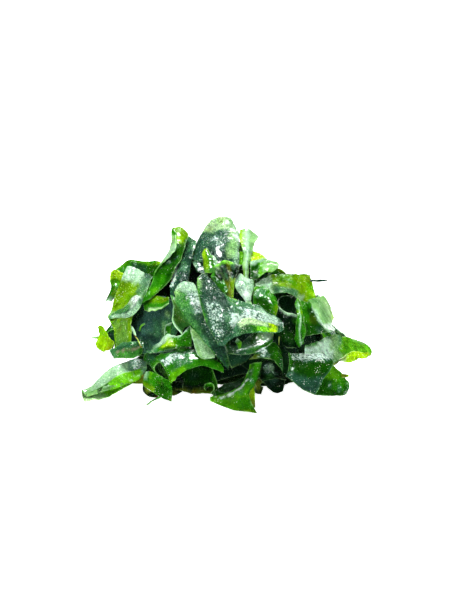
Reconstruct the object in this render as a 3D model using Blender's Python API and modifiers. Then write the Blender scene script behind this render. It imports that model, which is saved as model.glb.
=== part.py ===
"""Wakame: a mound of soaked, cut sea-mustard blades, lying on a table.

Every blade is one thin piece, bent, rolled or folded as it fell, and every piece is its own object.
The outer blades are drawn on elevation sheets of the mound. A sheet is a picture plane that looks at
the mound from one side, a little from above. A point on it is (across, down, lift) in millimetres:
across and down from the sheet's top left corner, and lift out of the mound's skin, towards the eye.
"""

import math

import bpy
import numpy as np
from mathutils import Vector
from mathutils.bvhtree import BVHTree

MM = 0.001

# Driving dimensions, in millimetres and degrees.
BLADE_THICKNESS = 0.75
CLEARANCE = 0.35
FLOOR_REST = BLADE_THICKNESS / 2 + 0.02
GAP = BLADE_THICKNESS + CLEARANCE

# The mound's skin. Its roundness is 1 for a cone and 2 for a dome.
MOUND_HALF_WIDTH = 66.0
MOUND_HALF_DEPTH = 56.0
MOUND_HEIGHT = 77.0
MOUND_ROUNDNESS = 1.5

# Each sheet's view of the mound: the side that it looks from, and how far down it looks. The middle of
# the mound's foot lies on every sheet at SHEET_MIDDLE across and SHEET_FLOOR down.
SHEET_TILT = 18
SHEETS = {"front": (0, SHEET_TILT), "right": (90, SHEET_TILT), "back": (180, SHEET_TILT),
          "left": (270, SHEET_TILT)}
SHEET_MIDDLE = 77.0
SHEET_FLOOR = 85.5

# The blade that the mound rests on. Its outline is a rounded box, drawn in at the corners by a share.
BASE_HALF_WIDTH = 46.0
BASE_HALF_DEPTH = 30.0
BASE_SETBACK = 11.0
BASE_CORNER = 0.36
BASE_WAVES = 5
BASE_WAVE_SHARE = 0.06
BASE_CELLS = 8

# The slack blades deep in the mound: how many, and each one's rows as (down, half width).
INNER_COUNT = 6
INNER_ROWS = ((32, 13), (45, 25), (60, 31), (74, 33), (87, 26))
INNER_DEPTH = -13.0
INNER_WAVE = 3.0
INNER_WAVE_ACROSS = 0.15
INNER_WAVE_DOWN = 0.1

# How far a blade follows the skin's bend, and the set depth of the tail, which reaches out past the skin.
FOLLOW = 0.5
TAIL_DEPTH = 36.0

# How blades are laid over each other. The steepest slope is the cosine past which a gap grows no more.
FAR = 300.0
SEARCH_STEPS = 48
LAYING_ROUNDS = 12
EASING_ROUNDS = 8
DEEPEST_DROP = 12.0
STEEPEST = 0.35
NUDGE = 0.2
SPREAD_STEPS = 3

# The front sheet, from the blades that lie deepest to those that lie on top.
# Each row of points runs across a blade, and the rows follow each other along it.
FRONT_BLADES = {
    "cave_blade": [
        [(28, 47, -10), (36, 45.5, -12), (45, 46, -12), (53, 50, -10)],
        [(25.5, 58, -10), (36, 58, -17), (46, 58, -16), (53, 60, -12)],
        [(26, 67, -8), (37, 67, -14), (45, 68, -12), (51, 67, -9)],
        [(29, 73.5, -5), (38, 75, -6), (44, 74, -6), (50, 73, -5)],
    ],
    "arch_back": [
        [(20.5, 33.5, -6), (21.5, 38, -4), (23, 44, -3)],
        [(27.5, 27.7, -8), (28, 35, -7), (28, 44, -5)],
        [(35, 28.4, -10), (35.5, 36, -9), (35, 45, -6)],
        [(43.5, 28.6, -9), (44, 36, -8), (43, 45, -5)],
    ],
    "left_cup": [
        [(18, 34, -2), (20.5, 32.4, -3), (25.5, 35, -4)],
        [(18.2, 38, 0), (20.5, 37.5, -4), (24.5, 39, -3)],
        [(18, 43, 0), (19.8, 43, -1), (22, 44, -2)],
        [(14.8, 49.8, 2), (16.5, 48.5, 1), (19, 49, 0)],
    ],
    "yellow_back": [
        [(82, 24, -9), (82.5, 31, -7)],
        [(89.5, 23.3, -10), (89, 30, -8)],
        [(96.2, 27, -9), (94, 31, -8)],
    ],
    "stem_fan": [
        [(83.2, 12.5, -8), (87, 12, -6), (93.9, 15.6, -8)],
        [(83, 18, -6), (86.8, 18, -4), (91.3, 18.8, -6)],
        [(85, 24, -4), (87.3, 24, -2), (89.7, 24, -4)],
        [(84.8, 30, -3), (86.7, 30, -1.5), (88.6, 30, -3)],
        [(84.6, 38.5, -3), (86.2, 38.5, -1.5), (87.6, 38.5, -3)],
    ],
    "right_fold": [
        [(88.5, 29, -6), (88.5, 33, -4), (88.3, 37.8, 0)],
        [(93, 27.6, -6), (92.5, 31.5, -5), (92.8, 37.2, 1)],
        [(98, 27.6, -5), (97, 30.5, -4), (96.8, 34.7, 1)],
        [(102.7, 29.4, -3), (103.1, 30.9, -2.5), (101.9, 32.4, -2)],
    ],
    "top_tongue": [
        [(69, 7.5, -8), (72.5, 6.3, -8), (76, 6, -8), (78.8, 6.2, -9)],
        [(64.6, 13.5, -7), (70, 13, -4), (76, 12.5, -4), (82.6, 13, -8)],
        [(61.2, 20.2, -5), (68, 20.5, -1), (76, 20, -1), (83.3, 20, -6)],
        [(58.3, 27.4, -3), (66, 29.3, 0), (75, 30.5, 0), (82.9, 30, -4)],
    ],
    "grey_blade": [
        [(57.4, 15.6, -4), (59.6, 17, -2), (61.8, 18.4, -4)],
        [(53.2, 23.6, -5), (56.8, 24.5, -1), (60, 25, -3)],
        [(50, 30.4, -5), (54.6, 31.5, 0), (58.7, 32, -3)],
        [(48.6, 37.8, -2), (53, 39, 2), (57.5, 40, -2)],
        [(48.8, 46, -1), (51, 47, 0), (55, 47, -2)],
    ],
    "small_cup": [
        [(34.8, 50, 4), (35.2, 51.2, 4.5), (36, 53.2, 5)],
        [(37.5, 47, 0), (38, 50, 2), (38, 54.4, 5.5)],
        [(43, 46.2, -2), (43, 49, 0), (42.2, 53.5, 4.5)],
        [(48.3, 46.6, -2), (48.2, 48, -1), (48, 50, 2)],
    ],
    "left_big": [
        [(26.5, 30.8, -2), (30, 31, -3), (34, 33.5, -3), (39.5, 36, -4)],
        [(23.5, 38.5, 1), (28, 38.5, 1), (33, 39.5, 0), (38, 41, -2)],
        [(20, 46.5, 2), (25, 46.5, 1), (30.5, 46.5, 0), (36, 46.5, 0)],
        [(18.2, 54, 4), (23, 53.5, 4), (28, 51, 4), (33.8, 49, 3)],
        [(17.0, 57.2, 5), (21.5, 58, 3), (25.5, 57, 3), (29.6, 55.5, 4)],
        [(20, 63, 4), (23, 63.5, 2), (26, 64, 2), (28.9, 63, 3)],
        [(20.3, 72.6, 3), (23, 73, 2), (25.5, 72.6, 2), (28.4, 71.4, 3)],
    ],
    "tall_blade": [
        [(50.2, 12.5, 3), (49.6, 11.6, 0), (54, 11.2, -3), (57.6, 15, -1)],
        [(52, 18.3, 5), (49.3, 17.5, 1), (54, 18.5, -3), (57.3, 16.8, 0)],
        [(51.5, 22.5, 6), (48.0, 22.8, 2), (52.5, 23, -1), (55.8, 22.5, 1)],
        [(48.5, 26, 5), (45.8, 27.3, 2), (50, 28, 0), (53.8, 28.5, 1)],
        [(42, 32.5, 3.5), (41.2, 34, 2), (46, 34.5, 1), (50.5, 34, 2)],
        [(38.8, 40.5, 3), (39.5, 41, 2), (43.5, 41, 1), (47.5, 39.5, 1)],
        [(34, 49.8, 3), (35.5, 48.8, 3), (37, 47.8, 3), (38.8, 46.6, 3)],
    ],
    "left_flat": [
        [(18.3, 73.4, 2), (19.5, 75.6, 3), (21, 77.2, 4)],
        [(24, 69.6, -3), (24.5, 73.8, 1), (25, 77.2, 4)],
        [(30, 68.6, -4), (30, 73, 0), (30.3, 77, 3)],
        [(35.4, 68.4, -4), (35.6, 72, -1.5), (34.4, 75, 0)],
    ],
    "left_diamond": [
        [(11.2, 61.6, 3), (12.8, 60.6, 3), (14.6, 61.8, 3)],
        [(12.6, 65.6, 3.4), (14.8, 65.4, 4), (17.5, 66.4, 3.4)],
        [(10.2, 70.2, 4), (15, 70, 5.5), (20.3, 70.3, 3)],
        [(12.3, 72.8, 4), (14.5, 74.2, 4), (18, 73, 3.5)],
    ],
    "mid_cup": [
        [(48.5, 45.5, -2), (50, 46, -3), (52, 47, -4)],
        [(50.2, 52, 1), (52.5, 52, -2), (54.5, 52, -4)],
        [(49.6, 58.5, 2), (52.5, 57.5, -3), (57, 57, -3)],
        [(54.5, 65.6, 1), (56, 62, -3), (59, 60.5, -3)],
    ],
    "right_big": [
        [(90.5, 40.5, -4), (93, 43, -2), (95, 46, 0)],
        [(98.5, 35.8, -6), (99.5, 40, -3), (100.5, 44.5, 0)],
        [(108, 35, -7), (108, 40, -3), (108.5, 45, 0)],
        [(114.5, 35.3, -7), (114.5, 41.5, -4), (115, 49, -3)],
        [(118.7, 35.2, -6), (120.5, 41, -3), (121.6, 48, -3)],
    ],
    "right_pale": [
        [(117, 48.3, -1), (121, 46.8, -2), (126, 45.6, -3)],
        [(119.8, 51.5, 1), (124, 51, 0), (129.3, 50.5, -3)],
        [(121.5, 56.5, 2), (126, 56.3, 1), (131, 56, -2)],
        [(125.5, 61.3, 2), (127.5, 60.8, 1), (129.5, 60, -1)],
        [(130.7, 63.8, 1), (131.1, 63.3, 0.5), (131.4, 62.6, 0)],
    ],
    "right_tube": [
        [(111, 46, -6), (104, 46, -6), (102, 50, -1), (105, 53, 4), (110.5, 55, 5), (113.3, 57, 4)],
        [(111, 54, -6), (105, 54, -6), (102.5, 58, -1), (105, 62, 3), (110, 63, 4), (112.5, 64, 3)],
        [(110, 64, -5), (106, 64, -5), (104, 67, -1), (105.5, 71, 2), (109, 72, 3), (111.5, 72, 2)],
    ],
    "right_pocket": [
        [(112.5, 47.5, 0), (115.5, 48.8, -1), (118.8, 49.6, 0)],
        [(114.3, 53, 2), (117.5, 53, 0), (120.5, 53, 1)],
        [(115.3, 59.5, 2), (119.5, 59.5, 0.5), (124, 59.8, 2)],
        [(115.8, 66.2, 1), (121, 65.3, 1), (129.5, 63.8, 3)],
    ],
    "right_strip": [
        [(110.5, 50, 3), (111.8, 46.8, 2), (113, 48.5, 2)],
        [(111.5, 55.5, 6), (113.2, 55, 6.5), (114.6, 55, 4)],
        [(110.8, 61.5, 5), (113, 61, 6.5), (115.4, 61, 4)],
        [(110.8, 67.5, 3), (112.8, 68.5, 4.5), (115.9, 67.5, 3)],
        [(112.5, 71.5, 2), (113.5, 71, 3), (115, 70, 2)],
    ],
    "right_leaflet": [
        [(89.8, 42, 0), (89.6, 46, 2), (89.8, 50, 3)],
        [(94.5, 41, -1), (93.8, 47, 3), (93.5, 51.5, 3)],
        [(98.5, 43.8, 0), (97.8, 48.5, 3), (97.5, 54, 3)],
        [(101, 48, -1), (102.3, 52, 1), (101, 55.6, 2)],
    ],
    "dark_arch": [
        [(94, 78, -2), (98, 78, -1), (103, 80, -2)],
        [(93.5, 84, 0), (98.5, 84, 2), (105, 85, 0)],
        [(92.5, 88, -1), (99, 86.5, 2), (107, 88, 0)],
    ],
    "right_lower": [
        [(115.5, 71, -3), (115.5, 74, 1), (115, 77, 2), (115, 79, 2)],
        [(123, 68.5, -3), (122.5, 73, 2), (122, 77, 3), (121.5, 79.5, 2.5)],
        [(130.5, 65.4, -4), (130, 72, 0), (130, 77.5, 3), (130.4, 80.8, 4)],
        [(138, 66.8, -5), (137, 73, -3), (137.5, 79.4, 3), (138.7, 74, 6.5)],
        [(145, 69, -5), (144.5, 73, -3), (144.5, 77.5, 2), (145, 74.3, 5.5)],
        [(149.6, 72.4, -3), (150.4, 74.4, -1.5), (149.8, 76.4, 0.5), (149.4, 74.6, 3.6)],
    ],
    "right_foot": [
        [(118, 82, 0), (117, 88, 4), (117, 94, 6)],
        [(127, 79.5, 0), (125, 88, 4), (123, 95.6, 5)],
        [(132.5, 82.8, 0), (131.5, 89, 3), (130, 96, 4)],
        [(137.6, 89, 0), (138.2, 92, 1), (136.5, 95.3, 2)],
    ],
    "right_band": [
        [(107.2, 74.6, 0), (112, 74.4, 1), (118, 74.4, 1), (124, 74, 0)],
        [(107.6, 79, 4), (113, 79, 6), (120, 79, 7), (130, 79.3, 6)],
        [(106.8, 83.5, 6), (112, 85.5, 9), (118, 86.5, 10), (126.2, 86, 9)],
        [(105.8, 85.4, 6), (110.5, 89.2, 9), (115, 93, 10), (120.2, 95.2, 10)],
    ],
    "recess_blade": [
        [(49, 86, -3), (50, 89, -2), (51.5, 92.6, -1)],
        [(58, 80, -8), (59, 87, -5), (59.4, 94.4, 0)],
        [(67, 80, -6), (67.4, 87, -4), (66.6, 94.4, 0)],
        [(69.5, 81, -1), (72, 88.6, 0), (74.4, 96.4, 2)],
    ],
    "under_tab": [
        [(76.5, 73, 0), (77.5, 78, 1), (79, 82, 1)],
        [(83, 73, 0), (83, 77, 1), (82.5, 80.6, 1)],
        [(91, 72, -1), (88.5, 75.5, 0), (86.5, 79, 0)],
    ],
    "under_band": [
        [(75.5, 70, 0), (76, 72.5, 2), (77, 75, 3)],
        [(82, 70, -2), (83, 73, 2), (83, 75.2, 3)],
        [(89, 65.5, -4), (90, 70.5, 1), (89.5, 74.6, 3)],
        [(95, 63.8, -2), (96, 68.5, 2), (95, 72.5, 3)],
        [(100, 62, -1), (100, 66, 1), (99.5, 68.5, 1.5)],
    ],
    "grey_fold": [
        [(91.6, 72.6, -1), (90, 75.2, 1), (87.6, 77.4, 2)],
        [(97, 70.4, -1), (96, 74, 1), (95, 77.2, 2.5)],
        [(100.5, 69, -2), (100.5, 74, 1), (100.3, 78.4, 3)],
        [(104.3, 74.5, -2), (104.6, 79, 0), (104, 83.6, 2)],
    ],
    "left_tail": [
        [(5.8, 98.6, 0), (4.5, 96, -1), (4.6, 93.2, 0.5), (6.6, 95.8, 2.8), (7.4, 94.1, 3.4)],
        [(12, 98, 0), (10, 94, -2), (10, 90.6, 0), (13.5, 94, 3.4), (13, 91.8, 3.7)],
        [(19, 95.8, 0), (17.5, 90, -3), (17.5, 83.3, 0), (20.5, 92.2, 5), (19, 87.8, 4.4)],
        [(26, 91.5, -1), (25, 86, -4), (25, 79.6, -1), (27, 90, 5), (26, 83.8, 3.7)],
        [(32, 88.3, -2), (31, 83, -5), (32, 77.8, -2), (32.8, 87.4, 4), (31.5, 82.6, 2.8)],
        [(37, 86, -3), (36.5, 82, -5), (37, 77.3, -2), (37, 82.5, 2), (37, 81, 3)],
    ],
    "left_roll": [
        [(49.5, 88.5, 3), (48.6, 84, 4), (47.8, 80.5, 4), (45, 78.3, 4), (41.8, 79.8, 4), (41.3, 83, 4),
         (44, 84.8, 3.5)],
        [(46.5, 86, -1), (45.6, 81.5, -1), (44.8, 78, -1), (42, 76, -1), (39, 77.5, -1), (38.6, 80.5, -1),
         (41, 82.3, -1.5)],
        [(43.5, 83.5, -5), (42.6, 79, -5), (41.8, 75.5, -5), (39, 73.5, -5), (36.2, 75, -5), (35.9, 78, -5),
         (38, 79.6, -5.5)],
    ],
    "shoulder": [
        [(41, 77, 0), (44.5, 80, 3), (47.5, 85, 5), (48.2, 89.6, 5)],
        [(45, 74, -1), (48, 77.5, 2), (50.5, 82, 5), (53, 85.6, 5)],
        [(51, 72.5, -2), (54, 75, 2), (57, 79.3, 5), (58, 82.2, 4.5)],
        [(57, 71.5, -3), (60, 74, 1), (63.8, 77.3, 4), (64.5, 80.5, 3.5)],
        [(63, 73, -4), (66, 75, 0), (70, 78, 3), (70.5, 82.3, 2.5)],
        [(69, 76, -4), (72, 78.5, -2), (75, 81.5, 0), (75.3, 84, 0)],
    ],
    "pale_curl": [
        [(37, 73.5, 1), (37.5, 74, 2), (38, 74.6, 2)],
        [(43, 69.3, 1), (43.5, 71, 3), (44, 73.3, 3.5)],
        [(47.3, 64.6, 1), (47.8, 68.5, 4), (48, 72.5, 4)],
        [(53, 65.8, 1), (53, 69, 3.5), (53, 72, 3.5)],
        [(59, 60.6, -2), (59.5, 66, 1), (59.5, 71, 2)],
    ],
    "low_left": [
        [(37.2, 83.4, 2), (35.6, 86.5, 3), (35.2, 90, 3)],
        [(42, 84.2, 2), (41, 88.5, 5), (39.5, 93, 4)],
        [(46.8, 87, 2), (46, 91.5, 5), (44.5, 96.4, 4)],
        [(49.4, 90, 1), (49.9, 94, 3), (49.6, 98, 3)],
    ],
    "pale_under": [
        [(58.5, 60.8, 3), (62, 64, 4), (66, 68, 4)],
        [(59.7, 67, 3), (64, 69, 4), (69, 72, 4)],
        [(61.8, 74.5, 3), (66, 75, 3.5), (71, 75.5, 3)],
        [(64.5, 77.2, 2), (67.5, 77, 2.5), (71, 76.5, 2)],
    ],
    "fork_left": [
        [(52, 40.3, 3), (55.5, 38.8, 4), (60.5, 39.8, 3.5)],
        [(50.2, 44, 4), (56, 45, 6), (63, 45, 5)],
        [(52.3, 50.5, 5), (58, 51, 7.5), (64.5, 51, 6)],
        [(58.5, 60, 6), (63, 58.5, 8), (68, 57, 7)],
        [(66.5, 70, 6), (69, 67, 8), (73, 63, 8)],
        [(72, 76.5, 5), (73.5, 74, 6.5), (76, 71, 7)],
        [(77.5, 82.5, 3), (77.8, 81.5, 3.5), (78.2, 80, 4)],
    ],
    "upright_tip": [
        [(65.7, 22, 4), (66.4, 21.7, 4), (67.3, 22.6, 4)],
        [(64.2, 25.4, 4), (66.8, 25.6, 5.5), (69.6, 25.8, 4)],
        [(64.6, 30, 4.5), (68.2, 29.8, 6), (72.4, 29.6, 4.5)],
        [(65.8, 34.6, 5), (68.6, 34.8, 6), (71, 34, 5)],
    ],
    "white_blade": [
        [(80.5, 38, 6), (83.6, 34.6, 4), (86, 37, 4), (90, 38, 3)],
        [(81, 42, 7), (84, 42, 7), (87, 42, 7), (90.2, 42, 5)],
        [(85, 47.5, 7), (86, 47, 7.5), (87.5, 46.5, 7.5), (89.3, 46, 6)],
        [(86.9, 50.6, 7), (87.7, 51.3, 7.2), (88.6, 51.3, 7.2), (89.4, 50.4, 7)],
    ],
    "fan": [
        [(70, 31.5, 7), (75.5, 28.4, 5), (83.8, 30.5, 7)],
        [(71, 35, 9), (77, 34, 6), (82.3, 34.5, 8)],
        [(75, 40, 9.5), (78, 39.5, 8), (80.8, 39.5, 8.5)],
        [(77.5, 47, 9.5), (78.8, 47, 9), (80, 47, 9)],
    ],
    "fork_main": [
        [(62, 37.5, 6), (62.2, 43, 6.5), (64, 51, 7.5), (67, 60, 8.5), (72, 69, 8), (72.8, 68.9, 9.8),
         (73.2, 68.2, 10.6)],
        [(65, 34.6, 5), (67, 43, 8), (70, 52, 10), (73, 60, 10.5), (75, 69.8, 8.5), (75.2, 68.6, 11.4),
         (75.5, 67.4, 11.6)],
        [(70, 39, 6), (74, 46, 9), (78, 54, 11), (79, 61, 11), (80, 66.6, 8.7), (80.3, 64.3, 13),
         (80, 62, 13)],
        [(78, 47.5, 7), (81, 50.5, 9.5), (84, 56, 11.5), (86, 61, 11), (86.6, 64.3, 9.5), (86, 61, 13.8),
         (85, 57, 13.5)],
        [(88.5, 49.8, 7), (90, 53, 9), (92, 57.5, 11), (93, 61, 10.5), (93, 64, 8.5), (92.5, 60.8, 13.3),
         (92, 57.8, 13)],
        [(97, 54, 5), (98.5, 56.5, 6.5), (99.5, 59.5, 8), (100, 62, 8), (99.8, 63.9, 7.2), (99.7, 62.4, 11),
         (99.2, 60, 11.4)],
        [(104.2, 58.2, 2), (104.8, 59.2, 2), (105, 60.4, 2), (104.9, 61.8, 2.2), (104.6, 63.2, 3.6),
         (104.5, 62.9, 5.8), (104.2, 61.2, 6.8)],
    ],
    "front_twist": [
        [(88, 79.5, -2), (91, 78.8, -1), (94.2, 78.5, -3)],
        [(86.5, 85, 0), (89.5, 85, 1), (92.8, 85.5, -1)],
        [(82.6, 90.5, 2), (86.4, 91, 4), (90.2, 90.5, 1)],
        [(75, 94.4, 4), (82.5, 95.4, 6), (88.2, 94.6, 2)],
        [(68.9, 95.2, 4), (79, 98.6, 8), (89.4, 98.8, 4)],
        [(68, 97.6, 5), (79.5, 102.4, 8), (92.5, 103.8, 6)],
    ],
}

# Folded and rolled blades, which are lifted whole where they lie over others.
STIFF_BLADES = {"left_tail", "left_roll", "right_tube", "tall_blade", "fork_main", "right_lower"}

# The far sides' blades repeat drawn ones. Each row gives the drawn blade, the sheet, where its middle
# goes, the turn in degrees, the stretch, and whether it is mirrored.
FAR_BLADES = {
    "back_low_left": ("shoulder", "back", (36, 82), -12, 1.3, False),
    "back_low_right": ("right_band", "back", (112, 84), 12, 1.35, False),
    "back_low_middle": ("right_foot", "back", (76, 90), -5, 1.8, True),
    "back_left": ("left_big", "back", (54, 62), 24, 1.25, False),
    "back_right": ("right_big", "back", (103, 61), 45, 1.5, False),
    "back_middle": ("fork_left", "back", (79, 64), 18, 1.15, True),
    "back_top": ("top_tongue", "back", (79, 39), 6, 1.4, True),
    "right_side_low": ("right_pocket", "right", (110, 93), 20, 1.25, True),
    "right_side": ("left_big", "right", (108, 77), -50, 0.9, True),
    "left_side_low": ("right_band", "left", (46, 92), 10, 0.95, True),
    "left_side": ("white_blade", "left", (42, 70), 14, 2.0, True),
    "crown": ("right_fold", "back", (82, 27), 12, 1.4, True),
}

# How each blade is coloured: a finish, and the blades that have it. The rest are deep green.
FINISHES = {
    "deep": (0.02, 0.10, 0.03),
    "green": (0.05, 0.22, 0.03),
    "bright": (0.22, 0.42, 0.03),
    "grey": (0.10, 0.17, 0.11),
    "pale": (0.40, 0.52, 0.33),
    "dark": (0.006, 0.025, 0.01),
}
BLADES_BY_FINISH = {
    "green": ("arch_back", "small_cup", "mid_cup", "right_fold", "right_strip", "right_leaflet", "shoulder",
              "right_pocket", "left_roll", "low_left", "front_twist", "tall_blade", "left_flat", "under_band",
              "back_low_left", "right_side_low", "crown"),
    "bright": ("left_cup", "yellow_back", "left_big", "left_diamond", "right_big", "upright_tip", "pale_curl",
               "back_left", "back_right", "right_side"),
    "grey": ("grey_blade", "top_tongue", "fork_main", "fork_left", "left_tail", "right_lower", "back_middle",
             "back_top"),
    "pale": ("stem_fan", "white_blade", "pale_under", "right_pale", "left_side"),
    "dark": ("base", "inner_1", "inner_2", "inner_3", "inner_4", "inner_5", "inner_6", "cave_blade",
             "dark_arch", "right_tube", "recess_blade", "fan"),
}
ROUGHNESS = 0.3


def sheet_axes(sheet):
    """Unit vectors of a sheet: across, up, and out to the eye."""
    turn, tilt = (math.radians(angle) for angle in sheet)
    across = np.array([math.cos(turn), math.sin(turn), 0.0])
    away = np.array([-math.sin(turn), math.cos(turn), 0.0])
    rise = np.array([0.0, 0.0, 1.0])
    up = away * math.sin(tilt) + rise * math.cos(tilt)
    out = -away * math.cos(tilt) + rise * math.sin(tilt)
    return across, up, out


def outside(place):
    """Below zero inside the mound's skin, and above zero outside it. It grows outwards."""
    half = (MOUND_HALF_WIDTH, MOUND_HALF_DEPTH, MOUND_HEIGHT)
    x, y, z = (abs(value) / size for value, size in zip(place, half))
    return math.hypot(x, y) ** MOUND_ROUNDNESS + z ** MOUND_ROUNDNESS - 1


def skin_depth(foot, out):
    """How far out from a point of the sheet the skin lies, or passes nearest where it is missed."""
    low, high = -FAR, FAR
    for _ in range(SEARCH_STEPS):
        first, second = (2 * low + high) / 3, (low + 2 * high) / 3
        if outside(foot + first * out) < outside(foot + second * out):
            high = second
        else:
            low = first
    if outside(foot + low * out) > 0:
        return low
    high = FAR
    for _ in range(SEARCH_STEPS):
        middle = (low + high) / 2
        if outside(foot + middle * out) < 0:
            low = middle
        else:
            high = middle
    return low


def placed(rows, sheet, follow, depth=None):
    """Drawn points of a blade, placed in the mound.

    They lie off the plane that fits the skin beneath the blade best, and follow the skin by a share.
    """
    across, up, out = sheet_axes(sheet)
    net = np.array(rows, float)
    points = net.reshape(-1, 3)
    feet = (points[:, :1] - SHEET_MIDDLE) * across + (SHEET_FLOOR - points[:, 1:2]) * up
    if depth is None:
        skin = np.array([skin_depth(foot, out) for foot in feet])
        table = np.column_stack([points[:, :2], np.ones(len(points))])
        plane = table @ np.linalg.lstsq(table, skin, rcond=None)[0]
        depth = plane + follow * (skin - plane)
    places = feet + (depth + points[:, 2])[:, None] * out
    sunk = np.maximum(FLOOR_REST - places[:, 2], 0) / out[2]
    return (places + sunk[:, None] * out).reshape(net.shape)


def through(points, count):
    """Points on a smooth curve through the given ones, along the first axis."""
    last = len(points) - 1
    padded = np.concatenate([[2 * points[0] - points[1]], points, [2 * points[-1] - points[-2]]])
    places = np.linspace(0, last, count)
    span = np.minimum(places.astype(int), last - 1)
    t = (places - span).reshape(-1, *[1] * (points.ndim - 1))
    a, b, c, d = (padded[span + k] for k in range(4))
    return 0.5 * (2 * b + (c - a) * t + (2 * a - 5 * b + 4 * c - d) * t**2 + (3 * b - a - 3 * c + d) * t**3)


def blade_grid(net):
    """A blade's middle surface, as a grid of points in millimetres, through its placed points."""
    along, over = net.shape[:2]
    grid = through(through(net, 2 * along - 1).swapaxes(0, 1), 2 * over - 1).swapaxes(0, 1)
    grid[..., 2] = np.maximum(grid[..., 2], FLOOR_REST)
    return grid


def carried(rows, middle, turn, stretch, mirrored):
    """A drawn blade's points, carried to another place on a sheet."""
    net = np.array(rows, float)
    net[..., :2] -= net[..., :2].mean(axis=(0, 1))
    if mirrored:
        net[..., 0] *= -1
    c, s = math.cos(math.radians(turn)), math.sin(math.radians(turn))
    net[..., :2] = net[..., :2] @ np.array([(c, s), (-s, c)]) * stretch + middle
    return net


def inner_rows(number):
    """A big slack blade deep in the mound, as waved rows of points on its own sheet."""
    rows = []
    for down, half_width in INNER_ROWS:
        row = []
        for across in np.linspace(-half_width, half_width, 5):
            wave = math.sin(INNER_WAVE_ACROSS * across + number)
            wave *= math.cos(INNER_WAVE_DOWN * down + 2 * number)
            row.append((SHEET_MIDDLE + across, down + INNER_WAVE * wave, INNER_DEPTH + INNER_WAVE * wave))
        rows.append(row)
    return rows


def base_grid():
    """The blade that the mound rests on: flat on the table, with a waved rim."""
    grid = []
    for u in np.linspace(-1, 1, BASE_CELLS + 1):
        for v in np.linspace(-1, 1, BASE_CELLS + 1):
            x = u * math.sqrt(1 - BASE_CORNER * v * v)
            y = v * math.sqrt(1 - BASE_CORNER * u * u)
            rim = 1 + BASE_WAVE_SHARE * math.sin(BASE_WAVES * math.atan2(y, x) + 1)
            place = (BASE_HALF_WIDTH * x * rim, BASE_HALF_DEPTH * y * rim + BASE_SETBACK, BLADE_THICKNESS / 2)
            grid.append(place)
    return np.array(grid).reshape(BASE_CELLS + 1, BASE_CELLS + 1, 3)


def grid_faces(along, over):
    """Triangles of a grid, split alike all over."""
    faces = []
    for i in range(along - 1):
        for j in range(over - 1):
            a, b = i * over + j, i * over + j + 1
            c, d = a + over, b + over
            faces += [(a, c, b), (b, c, d)]
    return faces


def spread(grid):
    """Places all over a grid's triangles, and the three corners that each lies between."""
    steps = range(SPREAD_STEPS + 1)
    shares = np.array([(i, j, SPREAD_STEPS - i - j) for i in steps for j in steps if i + j <= SPREAD_STEPS])
    faces = grid_faces(*grid.shape[:2])
    corners = np.repeat(faces, len(shares), axis=0)
    weights = np.tile(shares / SPREAD_STEPS, (len(faces), 1))
    return np.einsum("kc,kcx->kx", weights, grid.reshape(-1, 3)[corners]), corners


def surface(grids):
    """A search tree over the triangles of some grids."""
    points, faces = [], []
    for grid in grids:
        faces += [tuple(corner + len(points) for corner in face) for face in grid_faces(*grid.shape[:2])]
        points += [Vector(point) for point in grid.reshape(-1, 3)]
    return BVHTree.FromPolygons(points, faces)


def shortfall(place, behind, normal, out):
    """How much further out a place must lie to clear what it should lie in front of."""
    return (behind - place).dot(out) + GAP / max(abs(normal.dot(out)), STEEPEST)


def needed_lifts(grid, out, beneath, others, least):
    """How far out each point of a blade must move to clear the blades beneath it."""
    need = np.full(grid.shape[0] * grid.shape[1], least)
    outward = Vector(out)
    places, corners = spread(grid)
    for place, trio in zip(places, corners):
        hit, normal, _, _ = beneath.ray_cast(Vector(place + FAR * out), -outward)
        if hit:
            need[trio] = np.maximum(need[trio], shortfall(Vector(place), hit, normal, outward))
        near, _, _, distance = beneath.find_nearest(Vector(place), GAP)
        if near:
            need[trio] = np.maximum(need[trio], GAP - distance + NUDGE)
    own = surface([grid])
    faces = grid_faces(*grid.shape[:2])
    for place in others:
        hit, normal, face, _ = own.ray_cast(Vector(place - FAR * out), outward)
        if hit:
            trio = list(faces[face])
            need[trio] = np.maximum(need[trio], shortfall(hit, Vector(place), normal, outward))
    return need.reshape(grid.shape[:2])


def eased(need):
    """A smooth field of lifts, nowhere under the needed ones."""
    field = need
    for _ in range(EASING_ROUNDS):
        wide = np.pad(field, 1, mode="edge")
        mean = (wide[:-2, 1:-1] + wide[2:, 1:-1] + wide[1:-1, :-2] + wide[1:-1, 2:] + 4 * field) / 8
        field = np.maximum(need, mean)
    return field


def laid(grid, sheet, grids, stiff):
    """A blade laid over those beneath it: moved along its sheet's normal till it is just clear of them."""
    across, up, out = sheet_axes(sheet)
    beneath = surface(grids)
    others = np.concatenate([spread(other)[0] for other in grids])
    for axis in (across, up):
        span = grid @ axis
        others = others[(others @ axis > span.min() - GAP) & (others @ axis < span.max() + GAP)]
    drop = needed_lifts(grid, out, beneath, others, -DEEPEST_DROP).max()
    if -DEEPEST_DROP < drop < 0:
        grid = grid + max(drop, (FLOOR_REST - grid[..., 2].min()) / out[2]) * out
    for _ in range(LAYING_ROUNDS):
        need = needed_lifts(grid, out, beneath, others, 0.0)
        if need.max() < 0.01:
            break
        lift = np.full(need.shape, need.max()) if stiff else eased(need)
        grid = grid + lift[..., None] * out
    return grid


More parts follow.
